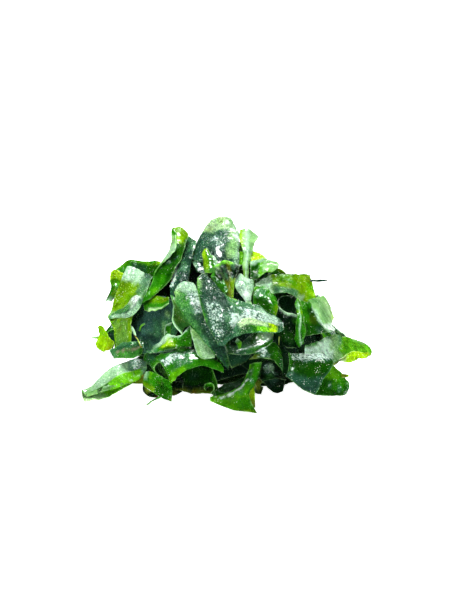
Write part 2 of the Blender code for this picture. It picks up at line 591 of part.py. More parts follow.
def mound():
    """Every blade's middle surface by name, in the order in which they were laid."""
    plan = []
    for number in range(INNER_COUNT):
        sheet = (360 / INNER_COUNT * number, SHEET_TILT)
        plan.append((f"inner_{number + 1}", inner_rows(number), sheet, 1.0))
    for name, rows in FRONT_BLADES.items():
        plan.append((name, rows, SHEETS["front"], 0.0 if name in STIFF_BLADES else FOLLOW))
    for name, (drawn, side, middle, turn, stretch, mirrored) in FAR_BLADES.items():
        rows = carried(FRONT_BLADES[drawn], middle, turn, stretch, mirrored)
        plan.append((name, rows, SHEETS[side], FOLLOW))
    blades = {"base": base_grid()}
    for name, rows, sheet, follow in plan:
        depth = TAIL_DEPTH if name == "left_tail" else None
        grid = blade_grid(placed(rows, sheet, follow, depth))
        blades[name] = laid(grid, sheet, list(blades.values()), name in STIFF_BLADES)
    return blades


def finish_material(name):
    material = bpy.data.materials.new(f"wakame_{name}")
    material.use_nodes = True
    shader = material.node_tree.nodes["Principled BSDF"]
    shader.inputs["Base Color"].default_value = (*FINISHES[name], 1)
    shader.inputs["Roughness"].default_value = ROUGHNESS
    shader.inputs["Metallic"].default_value = 0
    return material


def add_blade(name, grid, material, collection):
    mesh = bpy.data.meshes.new(name)
    mesh.from_pydata([Vector(p) * MM for p in grid.reshape(-1, 3)], [], grid_faces(*grid.shape[:2]))
    mesh.shade_smooth()
    mesh.materials.append(material)
    blade = bpy.data.objects.new(name, mesh)
    thicken = blade.modifiers.new("thickness", "SOLIDIFY")
    thicken.thickness = BLADE_THICKNESS * MM
    thicken.offset = 0
    collection.objects.link(blade)
    return blade


def centre_on_floor(blades):
    """Moves the mound so that its box stands centred on the origin, on the floor."""
    bpy.context.view_layer.update()
    graph = bpy.context.evaluated_depsgraph_get()
    corners = np.array([corner[:] for blade in blades for corner in blade.evaluated_get(graph).bound_box])
    low, high = corners.min(axis=0), corners.max(axis=0)
    shift = Vector((-(low[0] + high[0]) / 2, -(low[1] + high[1]) / 2, -low[2]))
    for blade in blades:
        blade.location = shift


def main():
    for old in list(bpy.data.objects):
        bpy.data.objects.remove(old)
    wakame = bpy.data.collections.new("wakame")
    bpy.context.scene.collection.children.link(wakame)
    materials = {name: finish_material(name) for name in FINISHES}
    finish_of = {blade: finish for finish, blades in BLADES_BY_FINISH.items() for blade in blades}
    blades = [add_blade(name, grid, materials[finish_of.get(name, "deep")], wakame)
              for name, grid in mound().items()]
    centre_on_floor(blades)


main()
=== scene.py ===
"""Wakame, dressed: a mound of soaked, cut sea-mustard blades on a pale table.

Every blade of the model is laid here again from its drawn points, then drawn finely: with slack ripples,
pleats, worn margins, and a wet skin whose colour is brushed on. Lengths are in millimetres until
the meshes are made.
"""

import math

import bpy
import numpy as np
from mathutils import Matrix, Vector
from mathutils.bvhtree import BVHTree


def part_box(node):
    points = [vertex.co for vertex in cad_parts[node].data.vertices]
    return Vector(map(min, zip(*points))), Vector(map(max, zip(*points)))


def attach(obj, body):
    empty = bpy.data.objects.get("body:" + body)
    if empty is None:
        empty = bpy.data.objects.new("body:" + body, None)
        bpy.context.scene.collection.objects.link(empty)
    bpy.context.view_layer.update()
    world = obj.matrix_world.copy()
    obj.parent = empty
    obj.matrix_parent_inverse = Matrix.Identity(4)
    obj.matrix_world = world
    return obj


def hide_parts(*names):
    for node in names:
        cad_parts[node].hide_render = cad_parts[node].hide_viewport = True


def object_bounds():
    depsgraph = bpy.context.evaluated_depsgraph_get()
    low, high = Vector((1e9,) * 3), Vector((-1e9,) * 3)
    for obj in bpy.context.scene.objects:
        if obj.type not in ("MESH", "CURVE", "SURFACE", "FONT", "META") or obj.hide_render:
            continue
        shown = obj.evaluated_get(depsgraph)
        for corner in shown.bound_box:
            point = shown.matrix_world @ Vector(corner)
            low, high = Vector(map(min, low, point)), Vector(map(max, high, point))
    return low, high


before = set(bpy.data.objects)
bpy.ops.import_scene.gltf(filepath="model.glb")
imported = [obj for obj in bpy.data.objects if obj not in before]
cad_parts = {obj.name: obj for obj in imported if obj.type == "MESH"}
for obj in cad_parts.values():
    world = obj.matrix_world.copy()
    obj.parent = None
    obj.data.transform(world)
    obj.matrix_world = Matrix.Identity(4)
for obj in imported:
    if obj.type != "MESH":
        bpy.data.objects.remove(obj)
model_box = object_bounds()

MM = 0.001

# Driving dimensions, in millimetres and degrees. The thickness and the clearance are the solids', and a
# hair is the least play between things.
BLADE_THICKNESS = 0.75
CLEARANCE = 0.35
HAIR = 0.02
FLOOR_REST = BLADE_THICKNESS / 2 + HAIR
GAP = BLADE_THICKNESS + CLEARANCE

# The mound's skin. Its roundness is 1 for a cone and 2 for a dome.
MOUND_HALF_WIDTH = 66.0
MOUND_HALF_DEPTH = 56.0
MOUND_HEIGHT = 77.0
MOUND_ROUNDNESS = 1.5

# Each sheet's view of the mound: the side that it looks from, and how far down it looks. The middle of
# the mound's foot lies on every sheet at SHEET_MIDDLE across and SHEET_FLOOR down.
SHEET_TILT = 18
SHEETS = {"front": (0, SHEET_TILT), "right": (90, SHEET_TILT), "back": (180, SHEET_TILT),
          "left": (270, SHEET_TILT)}
SHEET_MIDDLE = 77.0
SHEET_FLOOR = 85.5

# The blade that the mound rests on. Its outline is a rounded box, drawn in at the corners by a share.
BASE_HALF_WIDTH = 46.0
BASE_HALF_DEPTH = 30.0
BASE_SETBACK = 11.0
BASE_CORNER = 0.36
BASE_WAVES = 5
BASE_WAVE_SHARE = 0.06
BASE_CELLS = 8

# The slack blades deep in the mound: how many, each one's rows as (down, half width), the points in a row,
# and their waves, whose pace across and down is in radians to a millimetre.
INNER_COUNT = 6
INNER_ROWS = ((32, 13), (45, 25), (60, 31), (74, 33), (87, 26))
INNER_COLUMNS = 5
INNER_DEPTH = -13.0
INNER_WAVE = 3.0
INNER_WAVE_ACROSS = 0.15
INNER_WAVE_DOWN = 0.1

# How far a blade follows the skin's bend, and the set depth of the tail, which reaches out past the skin.
FOLLOW = 0.5
TAIL_DEPTH = 36.0

# How blades are laid over each other. Far is further than the mound reaches. The steepest slope is the
# cosine past which a gap grows no more, and a lift under the least one is let be.
FAR = 300.0
SEARCH_STEPS = 48
LAYING_ROUNDS = 12
EASING_ROUNDS = 8
DEEPEST_DROP = 12.0
STEEPEST = 0.35
NUDGE = 0.2
LEAST_LIFT = 0.01
SPREAD_STEPS = 3

# The front sheet, from the blades that lie deepest to those that lie on top.
# Each row of points runs across a blade, and the rows follow each other along it.
FRONT_BLADES = {
    "cave_blade": [
        [(28, 47, -10), (36, 45.5, -12), (45, 46, -12), (53, 50, -10)],
        [(25.5, 58, -10), (36, 58, -17), (46, 58, -16), (53, 60, -12)],
        [(26, 67, -8), (37, 67, -14), (45, 68, -12), (51, 67, -9)],
        [(29, 73.5, -5), (38, 75, -6), (44, 74, -6), (50, 73, -5)],
    ],
    "arch_back": [
        [(20.5, 33.5, -6), (21.5, 38, -4), (23, 44, -3)],
        [(27.5, 27.7, -8), (28, 35, -7), (28, 44, -5)],
        [(35, 28.4, -10), (35.5, 36, -9), (35, 45, -6)],
        [(43.5, 28.6, -9), (44, 36, -8), (43, 45, -5)],
    ],
    "left_cup": [
        [(18, 34, -2), (20.5, 32.4, -3), (25.5, 35, -4)],
        [(18.2, 38, 0), (20.5, 37.5, -4), (24.5, 39, -3)],
        [(18, 43, 0), (19.8, 43, -1), (22, 44, -2)],
        [(14.8, 49.8, 2), (16.5, 48.5, 1), (19, 49, 0)],
    ],
    "yellow_back": [
        [(82, 24, -9), (82.5, 31, -7)],
        [(89.5, 23.3, -10), (89, 30, -8)],
        [(96.2, 27, -9), (94, 31, -8)],
    ],
    "stem_fan": [
        [(83.2, 12.5, -8), (87, 12, -6), (93.9, 15.6, -8)],
        [(83, 18, -6), (86.8, 18, -4), (91.3, 18.8, -6)],
        [(85, 24, -4), (87.3, 24, -2), (89.7, 24, -4)],
        [(84.8, 30, -3), (86.7, 30, -1.5), (88.6, 30, -3)],
        [(84.6, 38.5, -3), (86.2, 38.5, -1.5), (87.6, 38.5, -3)],
    ],
    "right_fold": [
        [(88.5, 29, -6), (88.5, 33, -4), (88.3, 37.8, 0)],
        [(93, 27.6, -6), (92.5, 31.5, -5), (92.8, 37.2, 1)],
        [(98, 27.6, -5), (97, 30.5, -4), (96.8, 34.7, 1)],
        [(102.7, 29.4, -3), (103.1, 30.9, -2.5), (101.9, 32.4, -2)],
    ],
    "top_tongue": [
        [(69, 7.5, -8), (72.5, 6.3, -8), (76, 6, -8), (78.8, 6.2, -9)],
        [(64.6, 13.5, -7), (70, 13, -4), (76, 12.5, -4), (82.6, 13, -8)],
        [(61.2, 20.2, -5), (68, 20.5, -1), (76, 20, -1), (83.3, 20, -6)],
        [(58.3, 27.4, -3), (66, 29.3, 0), (75, 30.5, 0), (82.9, 30, -4)],
    ],
    "grey_blade": [
        [(57.4, 15.6, -4), (59.6, 17, -2), (61.8, 18.4, -4)],
        [(53.2, 23.6, -5), (56.8, 24.5, -1), (60, 25, -3)],
        [(50, 30.4, -5), (54.6, 31.5, 0), (58.7, 32, -3)],
        [(48.6, 37.8, -2), (53, 39, 2), (57.5, 40, -2)],
        [(48.8, 46, -1), (51, 47, 0), (55, 47, -2)],
    ],
    "small_cup": [
        [(34.8, 50, 4), (35.2, 51.2, 4.5), (36, 53.2, 5)],
        [(37.5, 47, 0), (38, 50, 2), (38, 54.4, 5.5)],
        [(43, 46.2, -2), (43, 49, 0), (42.2, 53.5, 4.5)],
        [(48.3, 46.6, -2), (48.2, 48, -1), (48, 50, 2)],
    ],
    "left_big": [
        [(26.5, 30.8, -2), (30, 31, -3), (34, 33.5, -3), (39.5, 36, -4)],
        [(23.5, 38.5, 1), (28, 38.5, 1), (33, 39.5, 0), (38, 41, -2)],
        [(20, 46.5, 2), (25, 46.5, 1), (30.5, 46.5, 0), (36, 46.5, 0)],
        [(18.2, 54, 4), (23, 53.5, 4), (28, 51, 4), (33.8, 49, 3)],
        [(17.0, 57.2, 5), (21.5, 58, 3), (25.5, 57, 3), (29.6, 55.5, 4)],
        [(20, 63, 4), (23, 63.5, 2), (26, 64, 2), (28.9, 63, 3)],
        [(20.3, 72.6, 3), (23, 73, 2), (25.5, 72.6, 2), (28.4, 71.4, 3)],
    ],
    "tall_blade": [
        [(50.2, 12.5, 3), (49.6, 11.6, 0), (54, 11.2, -3), (57.6, 15, -1)],
        [(52, 18.3, 5), (49.3, 17.5, 1), (54, 18.5, -3), (57.3, 16.8, 0)],
        [(51.5, 22.5, 6), (48.0, 22.8, 2), (52.5, 23, -1), (55.8, 22.5, 1)],
        [(48.5, 26, 5), (45.8, 27.3, 2), (50, 28, 0), (53.8, 28.5, 1)],
        [(42, 32.5, 3.5), (41.2, 34, 2), (46, 34.5, 1), (50.5, 34, 2)],
        [(38.8, 40.5, 3), (39.5, 41, 2), (43.5, 41, 1), (47.5, 39.5, 1)],
        [(34, 49.8, 3), (35.5, 48.8, 3), (37, 47.8, 3), (38.8, 46.6, 3)],
    ],
    "left_flat": [
        [(18.3, 73.4, 2), (19.5, 75.6, 3), (21, 77.2, 4)],
        [(24, 69.6, -3), (24.5, 73.8, 1), (25, 77.2, 4)],
        [(30, 68.6, -4), (30, 73, 0), (30.3, 77, 3)],
        [(35.4, 68.4, -4), (35.6, 72, -1.5), (34.4, 75, 0)],
    ],
    "left_diamond": [
        [(11.2, 61.6, 3), (12.8, 60.6, 3), (14.6, 61.8, 3)],
        [(12.6, 65.6, 3.4), (14.8, 65.4, 4), (17.5, 66.4, 3.4)],
        [(10.2, 70.2, 4), (15, 70, 5.5), (20.3, 70.3, 3)],
        [(12.3, 72.8, 4), (14.5, 74.2, 4), (18, 73, 3.5)],
    ],
    "mid_cup": [
        [(48.5, 45.5, -2), (50, 46, -3), (52, 47, -4)],
        [(50.2, 52, 1), (52.5, 52, -2), (54.5, 52, -4)],
        [(49.6, 58.5, 2), (52.5, 57.5, -3), (57, 57, -3)],
        [(54.5, 65.6, 1), (56, 62, -3), (59, 60.5, -3)],
    ],
    "right_big": [
        [(90.5, 40.5, -4), (93, 43, -2), (95, 46, 0)],
        [(98.5, 35.8, -6), (99.5, 40, -3), (100.5, 44.5, 0)],
        [(108, 35, -7), (108, 40, -3), (108.5, 45, 0)],
        [(114.5, 35.3, -7), (114.5, 41.5, -4), (115, 49, -3)],
        [(118.7, 35.2, -6), (120.5, 41, -3), (121.6, 48, -3)],
    ],
    "right_pale": [
        [(117, 48.3, -1), (121, 46.8, -2), (126, 45.6, -3)],
        [(119.8, 51.5, 1), (124, 51, 0), (129.3, 50.5, -3)],
        [(121.5, 56.5, 2), (126, 56.3, 1), (131, 56, -2)],
        [(125.5, 61.3, 2), (127.5, 60.8, 1), (129.5, 60, -1)],
        [(130.7, 63.8, 1), (131.1, 63.3, 0.5), (131.4, 62.6, 0)],
    ],
    "right_tube": [
        [(111, 46, -6), (104, 46, -6), (102, 50, -1), (105, 53, 4), (110.5, 55, 5), (113.3, 57, 4)],
        [(111, 54, -6), (105, 54, -6), (102.5, 58, -1), (105, 62, 3), (110, 63, 4), (112.5, 64, 3)],
        [(110, 64, -5), (106, 64, -5), (104, 67, -1), (105.5, 71, 2), (109, 72, 3), (111.5, 72, 2)],
    ],
    "right_pocket": [
        [(112.5, 47.5, 0), (115.5, 48.8, -1), (118.8, 49.6, 0)],
        [(114.3, 53, 2), (117.5, 53, 0), (120.5, 53, 1)],
        [(115.3, 59.5, 2), (119.5, 59.5, 0.5), (124, 59.8, 2)],
        [(115.8, 66.2, 1), (121, 65.3, 1), (129.5, 63.8, 3)],
    ],
    "right_strip": [
        [(110.5, 50, 3), (111.8, 46.8, 2), (113, 48.5, 2)],
        [(111.5, 55.5, 6), (113.2, 55, 6.5), (114.6, 55, 4)],
        [(110.8, 61.5, 5), (113, 61, 6.5), (115.4, 61, 4)],
        [(110.8, 67.5, 3), (112.8, 68.5, 4.5), (115.9, 67.5, 3)],
        [(112.5, 71.5, 2), (113.5, 71, 3), (115, 70, 2)],
    ],
    "right_leaflet": [
        [(89.8, 42, 0), (89.6, 46, 2), (89.8, 50, 3)],
        [(94.5, 41, -1), (93.8, 47, 3), (93.5, 51.5, 3)],
        [(98.5, 43.8, 0), (97.8, 48.5, 3), (97.5, 54, 3)],
        [(101, 48, -1), (102.3, 52, 1), (101, 55.6, 2)],
    ],
    "dark_arch": [
        [(94, 78, -2), (98, 78, -1), (103, 80, -2)],
        [(93.5, 84, 0), (98.5, 84, 2), (105, 85, 0)],
        [(92.5, 88, -1), (99, 86.5, 2), (107, 88, 0)],
    ],
    "right_lower": [
        [(115.5, 71, -3), (115.5, 74, 1), (115, 77, 2), (115, 79, 2)],
        [(123, 68.5, -3), (122.5, 73, 2), (122, 77, 3), (121.5, 79.5, 2.5)],
        [(130.5, 65.4, -4), (130, 72, 0), (130, 77.5, 3), (130.4, 80.8, 4)],
        [(138, 66.8, -5), (137, 73, -3), (137.5, 79.4, 3), (138.7, 74, 6.5)],
        [(145, 69, -5), (144.5, 73, -3), (144.5, 77.5, 2), (145, 74.3, 5.5)],
        [(149.6, 72.4, -3), (150.4, 74.4, -1.5), (149.8, 76.4, 0.5), (149.4, 74.6, 3.6)],
    ],
    "right_foot": [
        [(118, 82, 0), (117, 88, 4), (117, 94, 6)],
        [(127, 79.5, 0), (125, 88, 4), (123, 95.6, 5)],
        [(132.5, 82.8, 0), (131.5, 89, 3), (130, 96, 4)],
        [(137.6, 89, 0), (138.2, 92, 1), (136.5, 95.3, 2)],
    ],
    "right_band": [
        [(107.2, 74.6, 0), (112, 74.4, 1), (118, 74.4, 1), (124, 74, 0)],
        [(107.6, 79, 4), (113, 79, 6), (120, 79, 7), (130, 79.3, 6)],
        [(106.8, 83.5, 6), (112, 85.5, 9), (118, 86.5, 10), (126.2, 86, 9)],
        [(105.8, 85.4, 6), (110.5, 89.2, 9), (115, 93, 10), (120.2, 95.2, 10)],
    ],
    "recess_blade": [
        [(49, 86, -3), (50, 89, -2), (51.5, 92.6, -1)],
        [(58, 80, -8), (59, 87, -5), (59.4, 94.4, 0)],
        [(67, 80, -6), (67.4, 87, -4), (66.6, 94.4, 0)],
        [(69.5, 81, -1), (72, 88.6, 0), (74.4, 96.4, 2)],
    ],
    "under_tab": [
        [(76.5, 73, 0), (77.5, 78, 1), (79, 82, 1)],
        [(83, 73, 0), (83, 77, 1), (82.5, 80.6, 1)],
        [(91, 72, -1), (88.5, 75.5, 0), (86.5, 79, 0)],
    ],
    "under_band": [
        [(75.5, 70, 0), (76, 72.5, 2), (77, 75, 3)],
        [(82, 70, -2), (83, 73, 2), (83, 75.2, 3)],
        [(89, 65.5, -4), (90, 70.5, 1), (89.5, 74.6, 3)],
        [(95, 63.8, -2), (96, 68.5, 2), (95, 72.5, 3)],
        [(100, 62, -1), (100, 66, 1), (99.5, 68.5, 1.5)],
    ],
    "grey_fold": [
        [(91.6, 72.6, -1), (90, 75.2, 1), (87.6, 77.4, 2)],
        [(97, 70.4, -1), (96, 74, 1), (95, 77.2, 2.5)],
        [(100.5, 69, -2), (100.5, 74, 1), (100.3, 78.4, 3)],
        [(104.3, 74.5, -2), (104.6, 79, 0), (104, 83.6, 2)],
    ],
    "left_tail": [
        [(5.8, 98.6, 0), (4.5, 96, -1), (4.6, 93.2, 0.5), (6.6, 95.8, 2.8), (7.4, 94.1, 3.4)],
        [(12, 98, 0), (10, 94, -2), (10, 90.6, 0), (13.5, 94, 3.4), (13, 91.8, 3.7)],
        [(19, 95.8, 0), (17.5, 90, -3), (17.5, 83.3, 0), (20.5, 92.2, 5), (19, 87.8, 4.4)],
        [(26, 91.5, -1), (25, 86, -4), (25, 79.6, -1), (27, 90, 5), (26, 83.8, 3.7)],
        [(32, 88.3, -2), (31, 83, -5), (32, 77.8, -2), (32.8, 87.4, 4), (31.5, 82.6, 2.8)],
        [(37, 86, -3), (36.5, 82, -5), (37, 77.3, -2), (37, 82.5, 2), (37, 81, 3)],
    ],
    "left_roll": [
        [(49.5, 88.5, 3), (48.6, 84, 4), (47.8, 80.5, 4), (45, 78.3, 4), (41.8, 79.8, 4), (41.3, 83, 4),
         (44, 84.8, 3.5)],
        [(46.5, 86, -1), (45.6, 81.5, -1), (44.8, 78, -1), (42, 76, -1), (39, 77.5, -1), (38.6, 80.5, -1),
         (41, 82.3, -1.5)],
        [(43.5, 83.5, -5), (42.6, 79, -5), (41.8, 75.5, -5), (39, 73.5, -5), (36.2, 75, -5), (35.9, 78, -5),
         (38, 79.6, -5.5)],
    ],
    "shoulder": [
        [(41, 77, 0), (44.5, 80, 3), (47.5, 85, 5), (48.2, 89.6, 5)],
        [(45, 74, -1), (48, 77.5, 2), (50.5, 82, 5), (53, 85.6, 5)],
        [(51, 72.5, -2), (54, 75, 2), (57, 79.3, 5), (58, 82.2, 4.5)],
        [(57, 71.5, -3), (60, 74, 1), (63.8, 77.3, 4), (64.5, 80.5, 3.5)],
        [(63, 73, -4), (66, 75, 0), (70, 78, 3), (70.5, 82.3, 2.5)],
        [(69, 76, -4), (72, 78.5, -2), (75, 81.5, 0), (75.3, 84, 0)],
    ],
    "pale_curl": [
        [(37, 73.5, 1), (37.5, 74, 2), (38, 74.6, 2)],
        [(43, 69.3, 1), (43.5, 71, 3), (44, 73.3, 3.5)],
        [(47.3, 64.6, 1), (47.8, 68.5, 4), (48, 72.5, 4)],
        [(53, 65.8, 1), (53, 69, 3.5), (53, 72, 3.5)],
        [(59, 60.6, -2), (59.5, 66, 1), (59.5, 71, 2)],
    ],
    "low_left": [
        [(37.2, 83.4, 2), (35.6, 86.5, 3), (35.2, 90, 3)],
        [(42, 84.2, 2), (41, 88.5, 5), (39.5, 93, 4)],
        [(46.8, 87, 2), (46, 91.5, 5), (44.5, 96.4, 4)],
        [(49.4, 90, 1), (49.9, 94, 3), (49.6, 98, 3)],
    ],
    "pale_under": [
        [(58.5, 60.8, 3), (62, 64, 4), (66, 68, 4)],
        [(59.7, 67, 3), (64, 69, 4), (69, 72, 4)],
        [(61.8, 74.5, 3), (66, 75, 3.5), (71, 75.5, 3)],
        [(64.5, 77.2, 2), (67.5, 77, 2.5), (71, 76.5, 2)],
    ],
    "fork_left": [
        [(52, 40.3, 3), (55.5, 38.8, 4), (60.5, 39.8, 3.5)],
        [(50.2, 44, 4), (56, 45, 6), (63, 45, 5)],
        [(52.3, 50.5, 5), (58, 51, 7.5), (64.5, 51, 6)],
        [(58.5, 60, 6), (63, 58.5, 8), (68, 57, 7)],
        [(66.5, 70, 6), (69, 67, 8), (73, 63, 8)],
        [(72, 76.5, 5), (73.5, 74, 6.5), (76, 71, 7)],
        [(77.5, 82.5, 3), (77.8, 81.5, 3.5), (78.2, 80, 4)],
    ],
    "upright_tip": [
        [(65.7, 22, 4), (66.4, 21.7, 4), (67.3, 22.6, 4)],
        [(64.2, 25.4, 4), (66.8, 25.6, 5.5), (69.6, 25.8, 4)],
        [(64.6, 30, 4.5), (68.2, 29.8, 6), (72.4, 29.6, 4.5)],
        [(65.8, 34.6, 5), (68.6, 34.8, 6), (71, 34, 5)],
    ],
    "white_blade": [
        [(80.5, 38, 6), (83.6, 34.6, 4), (86, 37, 4), (90, 38, 3)],
        [(81, 42, 7), (84, 42, 7), (87, 42, 7), (90.2, 42, 5)],
        [(85, 47.5, 7), (86, 47, 7.5), (87.5, 46.5, 7.5), (89.3, 46, 6)],
        [(86.9, 50.6, 7), (87.7, 51.3, 7.2), (88.6, 51.3, 7.2), (89.4, 50.4, 7)],
    ],
    "fan": [
        [(70, 31.5, 7), (75.5, 28.4, 5), (83.8, 30.5, 7)],
        [(71, 35, 9), (77, 34, 6), (82.3, 34.5, 8)],
        [(75, 40, 9.5), (78, 39.5, 8), (80.8, 39.5, 8.5)],
        [(77.5, 47, 9.5), (78.8, 47, 9), (80, 47, 9)],
    ],
    "fork_main": [
        [(62, 37.5, 6), (62.2, 43, 6.5), (64, 51, 7.5), (67, 60, 8.5), (72, 69, 8), (72.8, 68.9, 9.8),
         (73.2, 68.2, 10.6)],
        [(65, 34.6, 5), (67, 43, 8), (70, 52, 10), (73, 60, 10.5), (75, 69.8, 8.5), (75.2, 68.6, 11.4),
         (75.5, 67.4, 11.6)],
        [(70, 39, 6), (74, 46, 9), (78, 54, 11), (79, 61, 11), (80, 66.6, 8.7), (80.3, 64.3, 13),
         (80, 62, 13)],
        [(78, 47.5, 7), (81, 50.5, 9.5), (84, 56, 11.5), (86, 61, 11), (86.6, 64.3, 9.5), (86, 61, 13.8),
         (85, 57, 13.5)],
        [(88.5, 49.8, 7), (90, 53, 9), (92, 57.5, 11), (93, 61, 10.5), (93, 64, 8.5), (92.5, 60.8, 13.3),
         (92, 57.8, 13)],
        [(97, 54, 5), (98.5, 56.5, 6.5), (99.5, 59.5, 8), (100, 62, 8), (99.8, 63.9, 7.2), (99.7, 62.4, 11),
         (99.2, 60, 11.4)],
        [(104.2, 58.2, 2), (104.8, 59.2, 2), (105, 60.4, 2), (104.9, 61.8, 2.2), (104.6, 63.2, 3.6),
         (104.5, 62.9, 5.8), (104.2, 61.2, 6.8)],
    ],
    "front_twist": [
        [(88, 79.5, -2), (91, 78.8, -1), (94.2, 78.5, -3)],
        [(86.5, 85, 0), (89.5, 85, 1), (92.8, 85.5, -1)],
        [(82.6, 90.5, 2), (86.4, 91, 4), (90.2, 90.5, 1)],
        [(75, 94.4, 4), (82.5, 95.4, 6), (88.2, 94.6, 2)],
        [(68.9, 95.2, 4), (79, 98.6, 8), (89.4, 98.8, 4)],
        [(68, 97.6, 5), (79.5, 102.4, 8), (92.5, 103.8, 6)],
    ],
}

# Folded and rolled blades, which are lifted whole where they lie over others.
STIFF_BLADES = {"left_tail", "left_roll", "right_tube", "tall_blade", "fork_main", "right_lower"}

# The far sides' blades repeat drawn ones. Each row gives the drawn blade, the sheet, where its middle
# goes, the turn in degrees, the stretch, and whether it is mirrored.
FAR_BLADES = {
    "back_low_left": ("shoulder", "back", (36, 82), -12, 1.3, False),
    "back_low_right": ("right_band", "back", (112, 84), 12, 1.35, False),
    "back_low_middle": ("right_foot", "back", (76, 90), -5, 1.8, True),
    "back_left": ("left_big", "back", (54, 62), 24, 1.25, False),
    "back_right": ("right_big", "back", (103, 61), 45, 1.5, False),
    "back_middle": ("fork_left", "back", (79, 64), 18, 1.15, True),
    "back_top": ("top_tongue", "back", (79, 39), 6, 1.4, True),
    "right_side_low": ("right_pocket", "right", (110, 93), 20, 1.25, True),
    "right_side": ("left_big", "right", (108, 77), -50, 0.9, True),
    "left_side_low": ("right_band", "left", (46, 92), 10, 0.95, True),
    "left_side": ("white_blade", "left", (42, 70), 14, 2.0, True),
    "crown": ("right_fold", "back", (82, 27), 12, 1.4, True),
}


def sheet_axes(sheet):
    """Unit vectors of a sheet: across, up, and out to the eye."""
    turn, tilt = (math.radians(angle) for angle in sheet)
    across = np.array([math.cos(turn), math.sin(turn), 0.0])
    away = np.array([-math.sin(turn), math.cos(turn), 0.0])
    rise = np.array([0.0, 0.0, 1.0])
    up = away * math.sin(tilt) + rise * math.cos(tilt)
    out = -away * math.cos(tilt) + rise * math.sin(tilt)
    return across, up, out


def outside(place):
    """Below zero inside the mound's skin, and above zero outside it. It grows outwards."""
    half = (MOUND_HALF_WIDTH, MOUND_HALF_DEPTH, MOUND_HEIGHT)
    x, y, z = (abs(value) / size for value, size in zip(place, half))
    return math.hypot(x, y) ** MOUND_ROUNDNESS + z ** MOUND_ROUNDNESS - 1


def skin_depth(foot, out):
    """How far out from a point of the sheet the skin lies, or passes nearest where it is missed."""
    low, high = -FAR, FAR
    for _ in range(SEARCH_STEPS):
        first, second = (2 * low + high) / 3, (low + 2 * high) / 3
        if outside(foot + first * out) < outside(foot + second * out):
            high = second
        else:
            low = first
    if outside(foot + low * out) > 0:
        return low
    high = FAR
    for _ in range(SEARCH_STEPS):
        middle = (low + high) / 2
        if outside(foot + middle * out) < 0:
            low = middle
        else:
            high = middle
    return low


def placed(rows, sheet, follow, depth=None):
    """Drawn points of a blade, placed in the mound.

    They lie off the plane that fits the skin beneath the blade best, and follow the skin by a share.
    """
    across, up, out = sheet_axes(sheet)
    net = np.array(rows, float)
    points = net.reshape(-1, 3)
    feet = (points[:, :1] - SHEET_MIDDLE) * across + (SHEET_FLOOR - points[:, 1:2]) * up
    if depth is None:
        skin = np.array([skin_depth(foot, out) for foot in feet])
        table = np.column_stack([points[:, :2], np.ones(len(points))])
        plane = table @ np.linalg.lstsq(table, skin, rcond=None)[0]
        depth = plane + follow * (skin - plane)
    places = feet + (depth + points[:, 2])[:, None] * out
    sunk = np.maximum(FLOOR_REST - places[:, 2], 0) / out[2]
    return (places + sunk[:, None] * out).reshape(net.shape)


def through(points, count):
    """Points on a smooth curve through the given ones, along the first axis."""
    last = len(points) - 1
    padded = np.concatenate([[2 * points[0] - points[1]], points, [2 * points[-1] - points[-2]]])
    places = np.linspace(0, last, count)
    span = np.minimum(places.astype(int), last - 1)
    t = (places - span).reshape(-1, *[1] * (points.ndim - 1))
    a, b, c, d = (padded[span + k] for k in range(4))
    return 0.5 * (2 * b + (c - a) * t + (2 * a - 5 * b + 4 * c - d) * t**2 + (3 * b - a - 3 * c + d) * t**3)


def blade_grid(net):
    """A blade's middle surface, as a grid of points in millimetres, through its placed points."""
    along, over = net.shape[:2]
    grid = through(through(net, 2 * along - 1).swapaxes(0, 1), 2 * over - 1).swapaxes(0, 1)
    grid[..., 2] = np.maximum(grid[..., 2], FLOOR_REST)
    return grid


def carried(rows, middle, turn, stretch, mirrored):
    """A drawn blade's points, carried to another place on a sheet."""
    net = np.array(rows, float)
    net[..., :2] -= net[..., :2].mean(axis=(0, 1))
    if mirrored:
        net[..., 0] *= -1
    c, s = math.cos(math.radians(turn)), math.sin(math.radians(turn))
    net[..., :2] = net[..., :2] @ np.array([(c, s), (-s, c)]) * stretch + middle
    return net


def inner_rows(number):
    """A big slack blade deep in the mound, as waved rows of points on its own sheet."""
    rows = []
    for down, half_width in INNER_ROWS:
        row = []
        for across in np.linspace(-half_width, half_width, INNER_COLUMNS):
            wave = math.sin(INNER_WAVE_ACROSS * across + number)
            wave *= math.cos(INNER_WAVE_DOWN * down + 2 * number)
            row.append((SHEET_MIDDLE + across, down + INNER_WAVE * wave, INNER_DEPTH + INNER_WAVE * wave))
        rows.append(row)
    return rows


def base_grid():
    """The blade that the mound rests on: flat on the table, with a waved rim."""
    grid = []
    for u in np.linspace(-1, 1, BASE_CELLS + 1):
        for v in np.linspace(-1, 1, BASE_CELLS + 1):
            x = u * math.sqrt(1 - BASE_CORNER * v * v)
            y = v * math.sqrt(1 - BASE_CORNER * u * u)
            rim = 1 + BASE_WAVE_SHARE * math.sin(BASE_WAVES * math.atan2(y, x) + 1)
            grid.append((BASE_HALF_WIDTH * x * rim, BASE_HALF_DEPTH * y * rim + BASE_SETBACK,
                         BLADE_THICKNESS / 2))
    return np.array(grid).reshape(BASE_CELLS + 1, BASE_CELLS + 1, 3)


def grid_faces(along, over):
    """Triangles of a grid, split alike all over."""
    faces = []
    for i in range(along - 1):
        for j in range(over - 1):
            a, b = i * over + j, i * over + j + 1
            c, d = a + over, b + over
            faces += [(a, c, b), (b, c, d)]
    return faces


